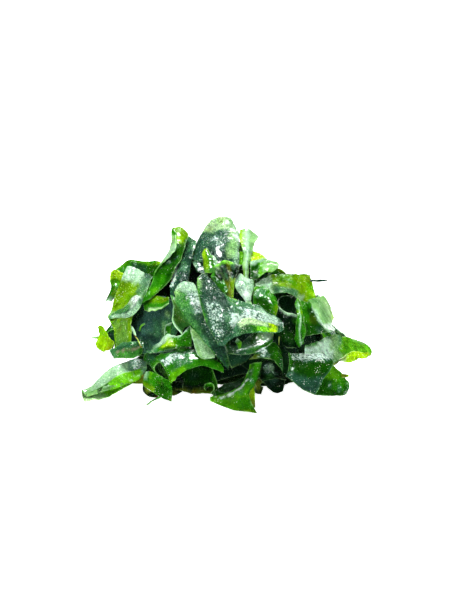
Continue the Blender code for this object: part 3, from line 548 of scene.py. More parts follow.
def spread(grid):
    """Places all over a grid's triangles, and the three corners that each lies between."""
    steps = range(SPREAD_STEPS + 1)
    shares = np.array([(i, j, SPREAD_STEPS - i - j) for i in steps for j in steps if i + j <= SPREAD_STEPS])
    faces = grid_faces(*grid.shape[:2])
    corners = np.repeat(faces, len(shares), axis=0)
    weights = np.tile(shares / SPREAD_STEPS, (len(faces), 1))
    return np.einsum("kc,kcx->kx", weights, grid.reshape(-1, 3)[corners]), corners


def surface(grids):
    """A search tree over the triangles of some grids."""
    points, faces = [], []
    for grid in grids:
        faces += [tuple(corner + len(points) for corner in face) for face in grid_faces(*grid.shape[:2])]
        points += [Vector(point) for point in grid.reshape(-1, 3)]
    return BVHTree.FromPolygons(points, faces)


def shortfall(place, behind, normal, out):
    """How much further out a place must lie to clear what it should lie in front of."""
    return (behind - place).dot(out) + GAP / max(abs(normal.dot(out)), STEEPEST)


def needed_lifts(grid, out, beneath, others, least):
    """How far out each point of a blade must move to clear the blades beneath it."""
    need = np.full(grid.shape[0] * grid.shape[1], least)
    outward = Vector(out)
    places, corners = spread(grid)
    for place, trio in zip(places, corners):
        hit, normal, _, _ = beneath.ray_cast(Vector(place + FAR * out), -outward)
        if hit:
            need[trio] = np.maximum(need[trio], shortfall(Vector(place), hit, normal, outward))
        near, _, _, distance = beneath.find_nearest(Vector(place), GAP)
        if near:
            need[trio] = np.maximum(need[trio], GAP - distance + NUDGE)
    own = surface([grid])
    faces = grid_faces(*grid.shape[:2])
    for place in others:
        hit, normal, face, _ = own.ray_cast(Vector(place - FAR * out), outward)
        if hit:
            trio = list(faces[face])
            need[trio] = np.maximum(need[trio], shortfall(hit, Vector(place), normal, outward))
    return need.reshape(grid.shape[:2])


def eased(need):
    """A smooth field of lifts, nowhere under the needed ones."""
    field = need
    for _ in range(EASING_ROUNDS):
        wide = np.pad(field, 1, mode="edge")
        mean = (wide[:-2, 1:-1] + wide[2:, 1:-1] + wide[1:-1, :-2] + wide[1:-1, 2:] + 4 * field) / 8
        field = np.maximum(need, mean)
    return field


def laid(grid, sheet, grids, stiff):
    """A blade laid over those beneath it: moved along its sheet's normal till it is just clear of them."""
    across, up, out = sheet_axes(sheet)
    beneath = surface(grids)
    others = np.concatenate([spread(other)[0] for other in grids])
    for axis in (across, up):
        span = grid @ axis
        others = others[(others @ axis > span.min() - GAP) & (others @ axis < span.max() + GAP)]
    drop = needed_lifts(grid, out, beneath, others, -DEEPEST_DROP).max()
    if -DEEPEST_DROP < drop < 0:
        grid = grid + max(drop, (FLOOR_REST - grid[..., 2].min()) / out[2]) * out
    for _ in range(LAYING_ROUNDS):
        need = needed_lifts(grid, out, beneath, others, 0.0)
        if need.max() < LEAST_LIFT:
            break
        lift = np.full(need.shape, need.max()) if stiff else eased(need)
        grid = grid + lift[..., None] * out
    return grid


def mound():
    """Every blade's middle surface and its way out by name, in the order in which they were laid."""
    plan = []
    for number in range(INNER_COUNT):
        sheet = (360 / INNER_COUNT * number, SHEET_TILT)
        plan.append((f"inner_{number + 1}", inner_rows(number), sheet, 1.0))
    for name, rows in FRONT_BLADES.items():
        plan.append((name, rows, SHEETS["front"], 0.0 if name in STIFF_BLADES else FOLLOW))
    for name, (drawn, side, middle, turn, stretch, mirrored) in FAR_BLADES.items():
        rows = carried(FRONT_BLADES[drawn], middle, turn, stretch, mirrored)
        plan.append((name, rows, SHEETS[side], FOLLOW))
    blades = {"base": base_grid()}
    outs = {"base": np.array([0.0, 0.0, 1.0])}
    for name, rows, sheet, follow in plan:
        depth = TAIL_DEPTH if name == "left_tail" else None
        grid = blade_grid(placed(rows, sheet, follow, depth))
        blades[name] = laid(grid, sheet, list(blades.values()), name in STIFF_BLADES)
        outs[name] = sheet_axes(sheet)[2]
    return blades, outs


# How finely a blade is drawn: the points between its drawn ones, the cell between points, the margin's own
# rows, and the fewest and most cells a side. A place is kept just inside the far end of what it is looked
# up in, and a normal is divided by no less than the least length.
SUBDIVISION = 4
CELL = 0.7
MARGIN_ROWS = (0.0, 0.04, 0.14, 0.3, 0.6)
FEWEST_CELLS = 6
MOST_CELLS = 70
HALF_THICKNESS = 0.3
JUST_INSIDE = 1.0001
LEAST_LENGTH = 1e-9

# Irregular lines and fields are sums of a few sines, divided by about the most that they reach together.
LINE_SINES = 5
LINE_PEAK = 2
FIELD_SINES = 7
FIELD_PEAK = 4
FIELD_STRETCH = (0.6, 1.5)
PHASES = (0, 6.28)

# The blade's slack: how far its middle and its margins ripple, how far in from a margin that reaches, the
# ripples' sizes, and the wrinkles' depth and sizes.
MIDDLE_RIPPLE = 0.34
MARGIN_RIPPLE = 0.75
RIPPLE_REACH = 3.5
RIPPLE_SIZE = 8.5
FINE_RIPPLE_SIZE = 3.2
FINE_RIPPLE_SHARE = 0.35
WRINKLE = 0.16
WRINKLE_SIZES = (4.5, 2.6)

# How far a margin is worn in: the depth, then the mean, swing and most as shares of it, and the longest and
# shortest waves. Shreds are worn and ripple less.
MARGIN_WEAR = 0.3
WEAR_MEAN = 0.45
WEAR_SWING = 0.5
WEAR_MOST = 1.6
WEAR_WAVES = (19, 2.6)
BLADE_SLACK = (MARGIN_WEAR, MARGIN_RIPPLE)
SHRED_SLACK = (0.1, 0.3)

# The film of water that keeps fine blades apart, from middle to middle.
FILM = 0.66
CLEARING_ROUNDS = 3

# The inner blades' pleats: their depth, their middle, the height that is taken off, and two waves. Each has
# its count round the mound, its turn from blade to blade, its lean with height and its share.
PLEAT_DEPTH = 3.2
PLEAT_MIDDLE = 5
PLEAT_TOP = 1.5
PLEAT_WAVES = ((9, 1, 0.05, 1.0), (17, 2, 0.11, 0.6))


def at(table, u, v):
    """A finely drawn surface's points at fractional places u along it and v over it."""
    along, over = table.shape[:2]
    i = np.clip(u, 0, along - JUST_INSIDE)
    j = np.clip(v, 0, over - JUST_INSIDE)
    i0, j0 = i.astype(int), j.astype(int)
    s, t = (i - i0)[..., None], (j - j0)[..., None]
    near = table[i0, j0] * (1 - t) + table[i0, j0 + 1] * t
    far = table[i0 + 1, j0] * (1 - t) + table[i0 + 1, j0 + 1] * t
    return near * (1 - s) + far * s


def side_places(length):
    """Places from 0 to length, close together at both margins and about a cell apart between them."""
    rows = np.array(MARGIN_ROWS)
    rows = rows[rows < length / 4]
    cells = int(min(max(round((length - 2 * rows[-1]) / CELL), FEWEST_CELLS), MOST_CELLS))
    middle = np.linspace(rows[-1], length - rows[-1], cells + 1)
    return np.concatenate([rows[:-1], middle, length - rows[:-1][::-1]])


def waves(places, dice, longest, shortest):
    """A smooth irregular line: sines between two wavelengths, in millimetres, with chosen phases."""
    line = np.zeros_like(places)
    for length in np.geomspace(longest, shortest, LINE_SINES):
        line += math.sqrt(length / longest) * np.sin(2 * math.pi * places / length + dice.uniform(*PHASES))
    return line / LINE_PEAK


def smooth_noise(points, dice, size):
    """A soft bumpy field over places in space, about 1 at most, with bumps of a size in millimetres."""
    field = np.zeros(points.shape[:-1])
    for _ in range(FIELD_SINES):
        way = dice.normal(size=3)
        way *= 2 * math.pi / size / np.linalg.norm(way) * dice.uniform(*FIELD_STRETCH)
        field += np.sin(points @ way + dice.uniform(*PHASES))
    return field / FIELD_PEAK


def lengths(points):
    """The mean lengths of a grid of points, along it and over it."""
    along = np.linalg.norm(np.diff(points, axis=0), axis=2).sum(axis=0).mean()
    over = np.linalg.norm(np.diff(points, axis=1), axis=2).sum(axis=1).mean()
    return along, over


def normals(points):
    """Unit normals of a grid of points."""
    normal = np.cross(np.gradient(points, axis=0), np.gradient(points, axis=1))
    return normal / np.maximum(np.linalg.norm(normal, axis=2, keepdims=True), LEAST_LENGTH)


def worn(places, dice, wear):
    """How far a margin is worn in at places along it."""
    return wear * np.clip(WEAR_MEAN + WEAR_SWING * waves(places, dice, *WEAR_WAVES), 0, WEAR_MOST)


def cleared(points, out, others):
    """A fine blade moved out where it would come nearer to the blades beneath it than a film of water."""
    low, high = points.min(axis=(0, 1)) - FILM, points.max(axis=(0, 1)) + FILM
    near = [tree for tree, least, most in others if (least < high).all() and (most > low).all()]
    for _ in range(CLEARING_ROUNDS):
        need = np.zeros(points.shape[0] * points.shape[1])
        for tree in near:
            for index, point in enumerate(points.reshape(-1, 3)):
                hit = tree.find_nearest(Vector(point), FILM)
                if hit[0]:
                    need[index] = max(need[index], FILM + HAIR - hit[3])
        if not need.any():
            break
        points = points + eased(need.reshape(points.shape[:2]))[..., None] * out
    return points


def quads(cell):
    """The four corners of each cell of a grid of numbered points."""
    return np.stack([cell[:-1, :-1], cell[1:, :-1], cell[1:, 1:], cell[:-1, 1:]], axis=-1).reshape(-1, 4)


class Blade:
    """A blade's two skins, and what its finish needs to know at each of their points."""

    def __init__(self, name, grid, dice, out, others, room, pleats, slack):
        self.name = name
        self.net = [size // 2 + 1 for size in grid.shape[:2]]
        wear, ripple = slack
        count = [SUBDIVISION * (size - 1) + 1 for size in grid.shape[:2]]
        table = through(through(grid, count[0]).swapaxes(0, 1), count[1]).swapaxes(0, 1)
        size = lengths(table)
        along, over = side_places(size[0]), side_places(size[1])
        inset = [[worn(places, dice, wear) for _ in range(2)] for places in (over, along)]
        u = inset[0][0] + (size[0] - inset[0][0] - inset[0][1]) * along[:, None] / size[0]
        v = (inset[1][0] + (size[1] - inset[1][0] - inset[1][1]) * over[:, None] / size[1]).T
        points = at(table, u / size[0] * (count[0] - 1), v / size[1] * (count[1] - 1))
        side = np.minimum(over, size[1] - over)[None, :]
        self.rim = np.minimum(side, np.minimum(along, size[0] - along)[:, None])
        swing = MIDDLE_RIPPLE + (ripple - MIDDLE_RIPPLE) * np.exp(-side / RIPPLE_REACH)
        lift = swing * smooth_noise(points, dice, RIPPLE_SIZE)
        lift = lift + FINE_RIPPLE_SHARE * swing * smooth_noise(points, dice, FINE_RIPPLE_SIZE)
        for wrinkle_size in WRINKLE_SIZES:
            lift = lift - WRINKLE * np.abs(smooth_noise(points, dice, wrinkle_size))
        if pleats:
            lift = lift + pleats(points)
        points = cleared(points + lift[..., None] * normals(points), out, others)
        points = np.clip(points, *room)
        self.middle, self.normal = points, normals(points)
        round_over = np.clip(self.rim / HALF_THICKNESS, 0, 1)
        self.half = HALF_THICKNESS * np.sqrt(1 - (1 - round_over) ** 2)
        self.flat = np.stack(np.broadcast_arrays(over[None, :], along[:, None]), axis=-1)

    def skins(self):
        """Points, faces and, for each point, its cell of the grid and its side: out 1, in -1, margin 0."""
        along, over = self.rim.shape
        cell = np.arange(along * over).reshape(along, over)
        inner = np.zeros((along, over), bool)
        inner[1:-1, 1:-1] = True
        under = cell.copy()
        under[inner] = along * over + np.arange(inner.sum())
        offset = self.normal * self.half[..., None]
        points = np.concatenate([(self.middle + offset).reshape(-1, 3), (self.middle - offset)[inner]])
        faces = np.concatenate([quads(cell), quads(under)[:, ::-1]])
        cells = np.concatenate([cell.ravel(), cell[inner]])
        sides = np.where(np.arange(len(points)) < along * over, inner.ravel()[cells] * 1.0, -1.0)
        return points, faces, cells, sides


class Value:
    """A number, colour or vector that varies over a surface. Sums and products of values make its nodes."""

    def __init__(self, paint, socket):
        self.paint, self.socket = paint, socket

    def math(self, operation, *numbers):
        return self.paint.node("ShaderNodeMath", {"operation": operation}, dict(enumerate(numbers)))

    def __add__(self, other):
        return self.math("ADD", self, other)

    def __sub__(self, other):
        return self.math("SUBTRACT", self, other)

    def __rsub__(self, other):
        return self.math("SUBTRACT", other, self)

    def __mul__(self, other):
        return self.math("MULTIPLY", self, other)

    def __abs__(self):
        return self.math("ABSOLUTE", self)

    __radd__ = __add__
    __rmul__ = __mul__

    def ramp(self, low, high):
        """0 where this is at low or under, 1 at high or over, and smooth between."""
        settings = {"interpolation_type": "SMOOTHSTEP"}
        sockets = {"Value": self, 1: low, 2: high, 3: 0.0, 4: 1.0}
        return self.paint.node("ShaderNodeMapRange", settings, sockets)


class Paint:
    """The nodes of a material, or of the light all round."""

    def __init__(self, owner):
        self.owner = owner
        owner.use_nodes = True
        self.tree = owner.node_tree
        self.tree.nodes.clear()

    def node(self, kind, settings=None, sockets=None, out=0):
        """A node of a kind: its settings are set first, then the values or links of its sockets."""
        node = self.tree.nodes.new(kind)
        for key, setting in (settings or {}).items():
            if key == "stops":
                for stop, colour in zip(node.color_ramp.elements, setting):
                    stop.color = colour
            else:
                setattr(node, key, setting)
        for key, value in (sockets or {}).items():
            if isinstance(value, Value):
                self.tree.links.new(value.socket, node.inputs[key])
            else:
                node.inputs[key].default_value = value
        return Value(self, node.outputs[out]) if node.outputs else None

    def attribute(self, name, out):
        return self.node("ShaderNodeAttribute", {"attribute_name": name}, out=out)

    def stretched(self, vector, scale):
        return self.node("ShaderNodeVectorMath", {"operation": "MULTIPLY"}, {0: vector, 1: scale})

    def noise(self, vector, scale, detail=3.0, rough=0.55):
        sockets = {"Vector": vector, "Scale": scale, "Detail": detail, "Roughness": rough}
        return self.node("ShaderNodeTexNoise", None, sockets)

    def spots(self, vector, scale):
        return self.node("ShaderNodeTexVoronoi", None, {"Vector": vector, "Scale": scale})

    def blend(self, share, first, second):
        return self.node("ShaderNodeMix", {"data_type": "RGBA"}, {0: share, 6: first, 7: second}, out=2)

    def shifted(self, colour, hue, saturation, value):
        sockets = {"Hue": hue, "Saturation": saturation, "Value": value, "Color": colour}
        return self.node("ShaderNodeHueSaturation", None, sockets)

    def finish(self, colour, roughness, bump, depth, constants):
        normal = self.node("ShaderNodeBump", None, {"Height": bump, "Distance": depth, "Strength": 1.0})
        sockets = {"Base Color": colour, "Roughness": roughness, "Normal": normal, **constants}
        shader = self.node("ShaderNodeBsdfPrincipled", {"subsurface_method": "RANDOM_WALK"}, sockets)
        self.node("ShaderNodeOutputMaterial", None, {"Surface": shader})
        return self.owner


# The skin's patterns, each as features to a metre, detail and roughness. The veins run along a blade: their
# stretch is in features to a millimetre over it and along it.
CLOUDS = (210.0, 3.0, 0.6)
GRAIN = (1500.0, 2.0, 0.6)
FOLDS = (560.0, 2.5, 0.55)
WISPS = (520.0, 6.0, 0.85)
VEINS = (1.0, 4.0, 0.65)
VEIN_STRETCH = (0.9, 0.09, 0.0)
DOTS_SCALE = 950.0
BUMP_DEPTH = 0.001

# Lighter, darker and washed-out shifts of a brushed hue, as hue, saturation and value. The lighter and
# darker ones colour mottling and veins, and also paint highlights and shade on the crinkles. Then the
# colours of painted sky glare, of painted glints and of a painted highlight along the cut margin.
LIGHTER = (0.475, 1.05, 1.9)
DARKER = (0.51, 1.0, 0.3)
PALER = (0.47, 0.8, 4.0)
GLARE = (0.60, 0.80, 0.68, 1)
GLINT = (0.95, 1.0, 0.90, 1)
RIM_HIGHLIGHT_HUE = (0.42, 0.7, 0.3, 1)
RIM_HIGHLIGHT_SHARE = 0.4

# How much each skin shows of veins, mottling, specks, gloss and creases. 1 is much. Gloss also sets the
# painted glints and rim highlight, and creases set the painted shade and highlights on the crinkles as
# well as their bumps.
SKINS = {
    "deep": (0.5, 0.3, 0.5, 0.9, 0.4),
    "green": (0.5, 0.3, 0.4, 0.8, 0.3),
    "bright": (0.4, 0.5, 0.8, 0.7, 0.35),
    "grey": (0.7, 0.4, 0.4, 0.6, 1.0),
    "pale": (0.5, 0.4, 0.2, 0.7, 0.45),
    "dark": (0.6, 0.4, 0.2, 0.3, 0.6),
    "smooth": (0.25, 0.2, 0.1, 0.4, 0.1),
    "white": (0.7, 0.7, 0.4, 1.0, 0.5),
    "tall": (0.4, 0.3, 0.2, 0.5, 0.2),
    "tail": (0.5, 0.3, 0.4, 0.8, 0.3),
    "inner": (0.8, 0.5, 0.2, 0.4, 0.6),
    "fan": (1.4, 0.5, 0.3, 0.15, 0.6),
    "cave": (1.0, 0.6, 0.2, 0.35, 0.6),
}

# Blades with a skin of their own. The others' skin is that of their finish.
OWN_SKINS = {"right_pale": "smooth", "stem_fan": "smooth", "right_fold": "smooth", "left_diamond": "smooth",
             "right_lower": "white", "tall_blade": "tall", "left_tail": "tail", "inner": "inner",
             "fan": "fan", "cave_blade": "cave"}


def blade_material(name, vein, mottle, speck, gloss, crease):
    """A wet blade: its brushed hue under pattern, and painted shade, highlights, glare and glints."""
    paint = Paint(bpy.data.materials.new(name))
    place = paint.node("ShaderNodeTexCoord", out="Object")
    flat = paint.attribute("flat", "Vector")
    rim = paint.attribute("rim", "Fac")
    frost = paint.attribute("frost", "Fac")
    tint = paint.attribute("tint", "Color")
    lines = paint.noise(paint.stretched(flat, VEIN_STRETCH), *VEINS)
    patterns = (CLOUDS, GRAIN, FOLDS, WISPS)
    clouds, grain, folds, wisps = (paint.noise(place, *pattern) for pattern in patterns)
    dots = paint.spots(place, DOTS_SCALE)
    light, shade, pale = (paint.shifted(tint, *shift) for shift in (LIGHTER, DARKER, PALER))
    # Painted glare: the mask where white specks of the sky's glare are painted, densest where touches ask.
    cover = (wisps + 0.12 * grain + 0.26 * frost + 0.1 * lines).ramp(0.76, 0.86)
    cover = cover * (frost + 0.1).ramp(0.0, 0.3)
    # Painted glints, then a painted highlight along the margin, both weaker on less glossy skins.
    glint = (grain + 0.3 * wisps + 0.4 * clouds + 0.14 * frost).ramp(1.05, 1.09) * gloss
    edge = rim.ramp(0.5, 0.15) * (0.25 + 0.75 * clouds.ramp(0.44, 0.56)) * (0.2 + 0.8 * gloss)
    # From the lowest layer to the topmost: how much of it shows at a point, and its colour. The first five
    # are mottling, veins and pale specks; the rest are painted light, as marked.
    layers = (
        (clouds.ramp(0.52, 0.35) * (0.35 + 0.5 * mottle), shade),
        (clouds.ramp(0.5, 0.72) * (0.1 + 0.5 * mottle), light),
        (lines.ramp(0.54, 0.72) * (0.6 * vein), light),
        (lines.ramp(0.46, 0.3) * (0.7 * vein), shade),
        (dots.ramp(0.3, 0.16) * grain.ramp(0.5, 0.66) * speck, pale),
        # Painted shade and painted highlights on the fine crinkles, stronger where a skin has more creases.
        (wisps.ramp(0.44, 0.34) * (0.25 + 0.6 * crease), shade),
        (grain.ramp(0.54, 0.64) * (0.1 + 0.55 * crease), light),
        (grain.ramp(0.46, 0.36) * (0.15 + 0.7 * crease), shade),
        # Painted sky glare in specks, painted white glints, and a painted highlight along the margin.
        (cover * 0.9, GLARE),
        (glint, GLINT),
        (edge * 0.9, paint.blend(RIM_HIGHLIGHT_SHARE, light, RIM_HIGHLIGHT_HUE)),
    )
    colour = tint
    for share, layer in layers:
        colour = paint.blend(share, colour, layer)
    rough = 0.2 - 0.12 * gloss + 0.12 * grain.ramp(0.35, 0.7) + 0.06 * clouds.ramp(0.4, 0.7)
    height = (0.14 + 0.12 * crease) * clouds + 0.15 * vein * lines + (0.06 + 0.08 * crease) * grain
    height = height - (0.3 + 0.7 * crease) * abs(folds - 0.5) + 0.12 * frost * wisps
    constants = {"IOR": 1.42, "Specular IOR Level": 0.1 + 0.4 * gloss, "Specular Tint": (0.7, 1.0, 0.85, 1),
                 "Coat Weight": 0.6 * gloss, "Coat Roughness": 0.08, "Subsurface Weight": 0.25,
                 "Subsurface Scale": 0.0005, "Subsurface Radius": (0.35, 1.0, 0.15)}
    return paint.finish(colour, rough, height, BUMP_DEPTH, constants)


# The hues that are brushed on the blades: their own colours, and hues that paint light and shade, as
# marked.
HUES = {
    # Painted shade: near black, for hollows, folds and blades deep in shadow.
    "night": (0.001, 0.008, 0.002),
    "slate": (0.009, 0.035, 0.021),
    "steel": (0.040, 0.115, 0.095),
    "smoke": (0.018, 0.075, 0.040),
    "deep": (0.005, 0.062, 0.001),
    "leaf": (0.018, 0.195, 0.001),
    "grass": (0.050, 0.250, 0.036),
    "lime": (0.100, 0.42, 0.001),
    # Partly the skin's own yellow-green and partly painted light that shines through thin parts.
    "sun": (0.29, 0.60, 0.001),
    "moss": (0.13, 0.32, 0.001),
    "olive": (0.095, 0.15, 0.004),
    "rust": (0.20, 0.10, 0.005),
    "clay": (0.25, 0.22, 0.15),
    # Partly painted glare: a grey-green veil of the sky's glare over the green skin.
    "mist": (0.055, 0.19, 0.078),
    "pale": (0.24, 0.52, 0.16),
    # Painted glare and highlights: a milky green-white.
    "milk": (0.38, 0.63, 0.40),
    # Painted glare: a grey-green under dense specks of the sky's white glare.
    "glare_speckled": (0.05, 0.15, 0.09),
    "spring": (0.18, 0.70, 0.02),
    # Painted light: a bright yellow-green for light shining through thin parts, also laid on parts in
    # shade.
    "glow": (0.42, 0.78, 0.003),
    # Painted light: a pale cream where a fold or lip catches the light.
    "cream": (0.46, 0.72, 0.34),
    # Painted glare: a whitish green for skin that mirrors the light.
    "pale_glare": (0.62, 0.93, 0.68),
    # Painted glare: near white.
    "white": (0.84, 0.98, 0.87),
}

# How much each hue's touch covers the skin with painted specks of the sky's white glare. A blade's own
# hue covers it by a share of that.
GLARE_SPECKS = {"glare_speckled": 1.0, "white": 0.5, "pale_glare": 0.35, "milk": 0.3, "mist": 0.3, "pale": 0.1, "smoke": 0.15,
         "steel": 0.1}
OWN_GLARE_SPECKS = 0.5
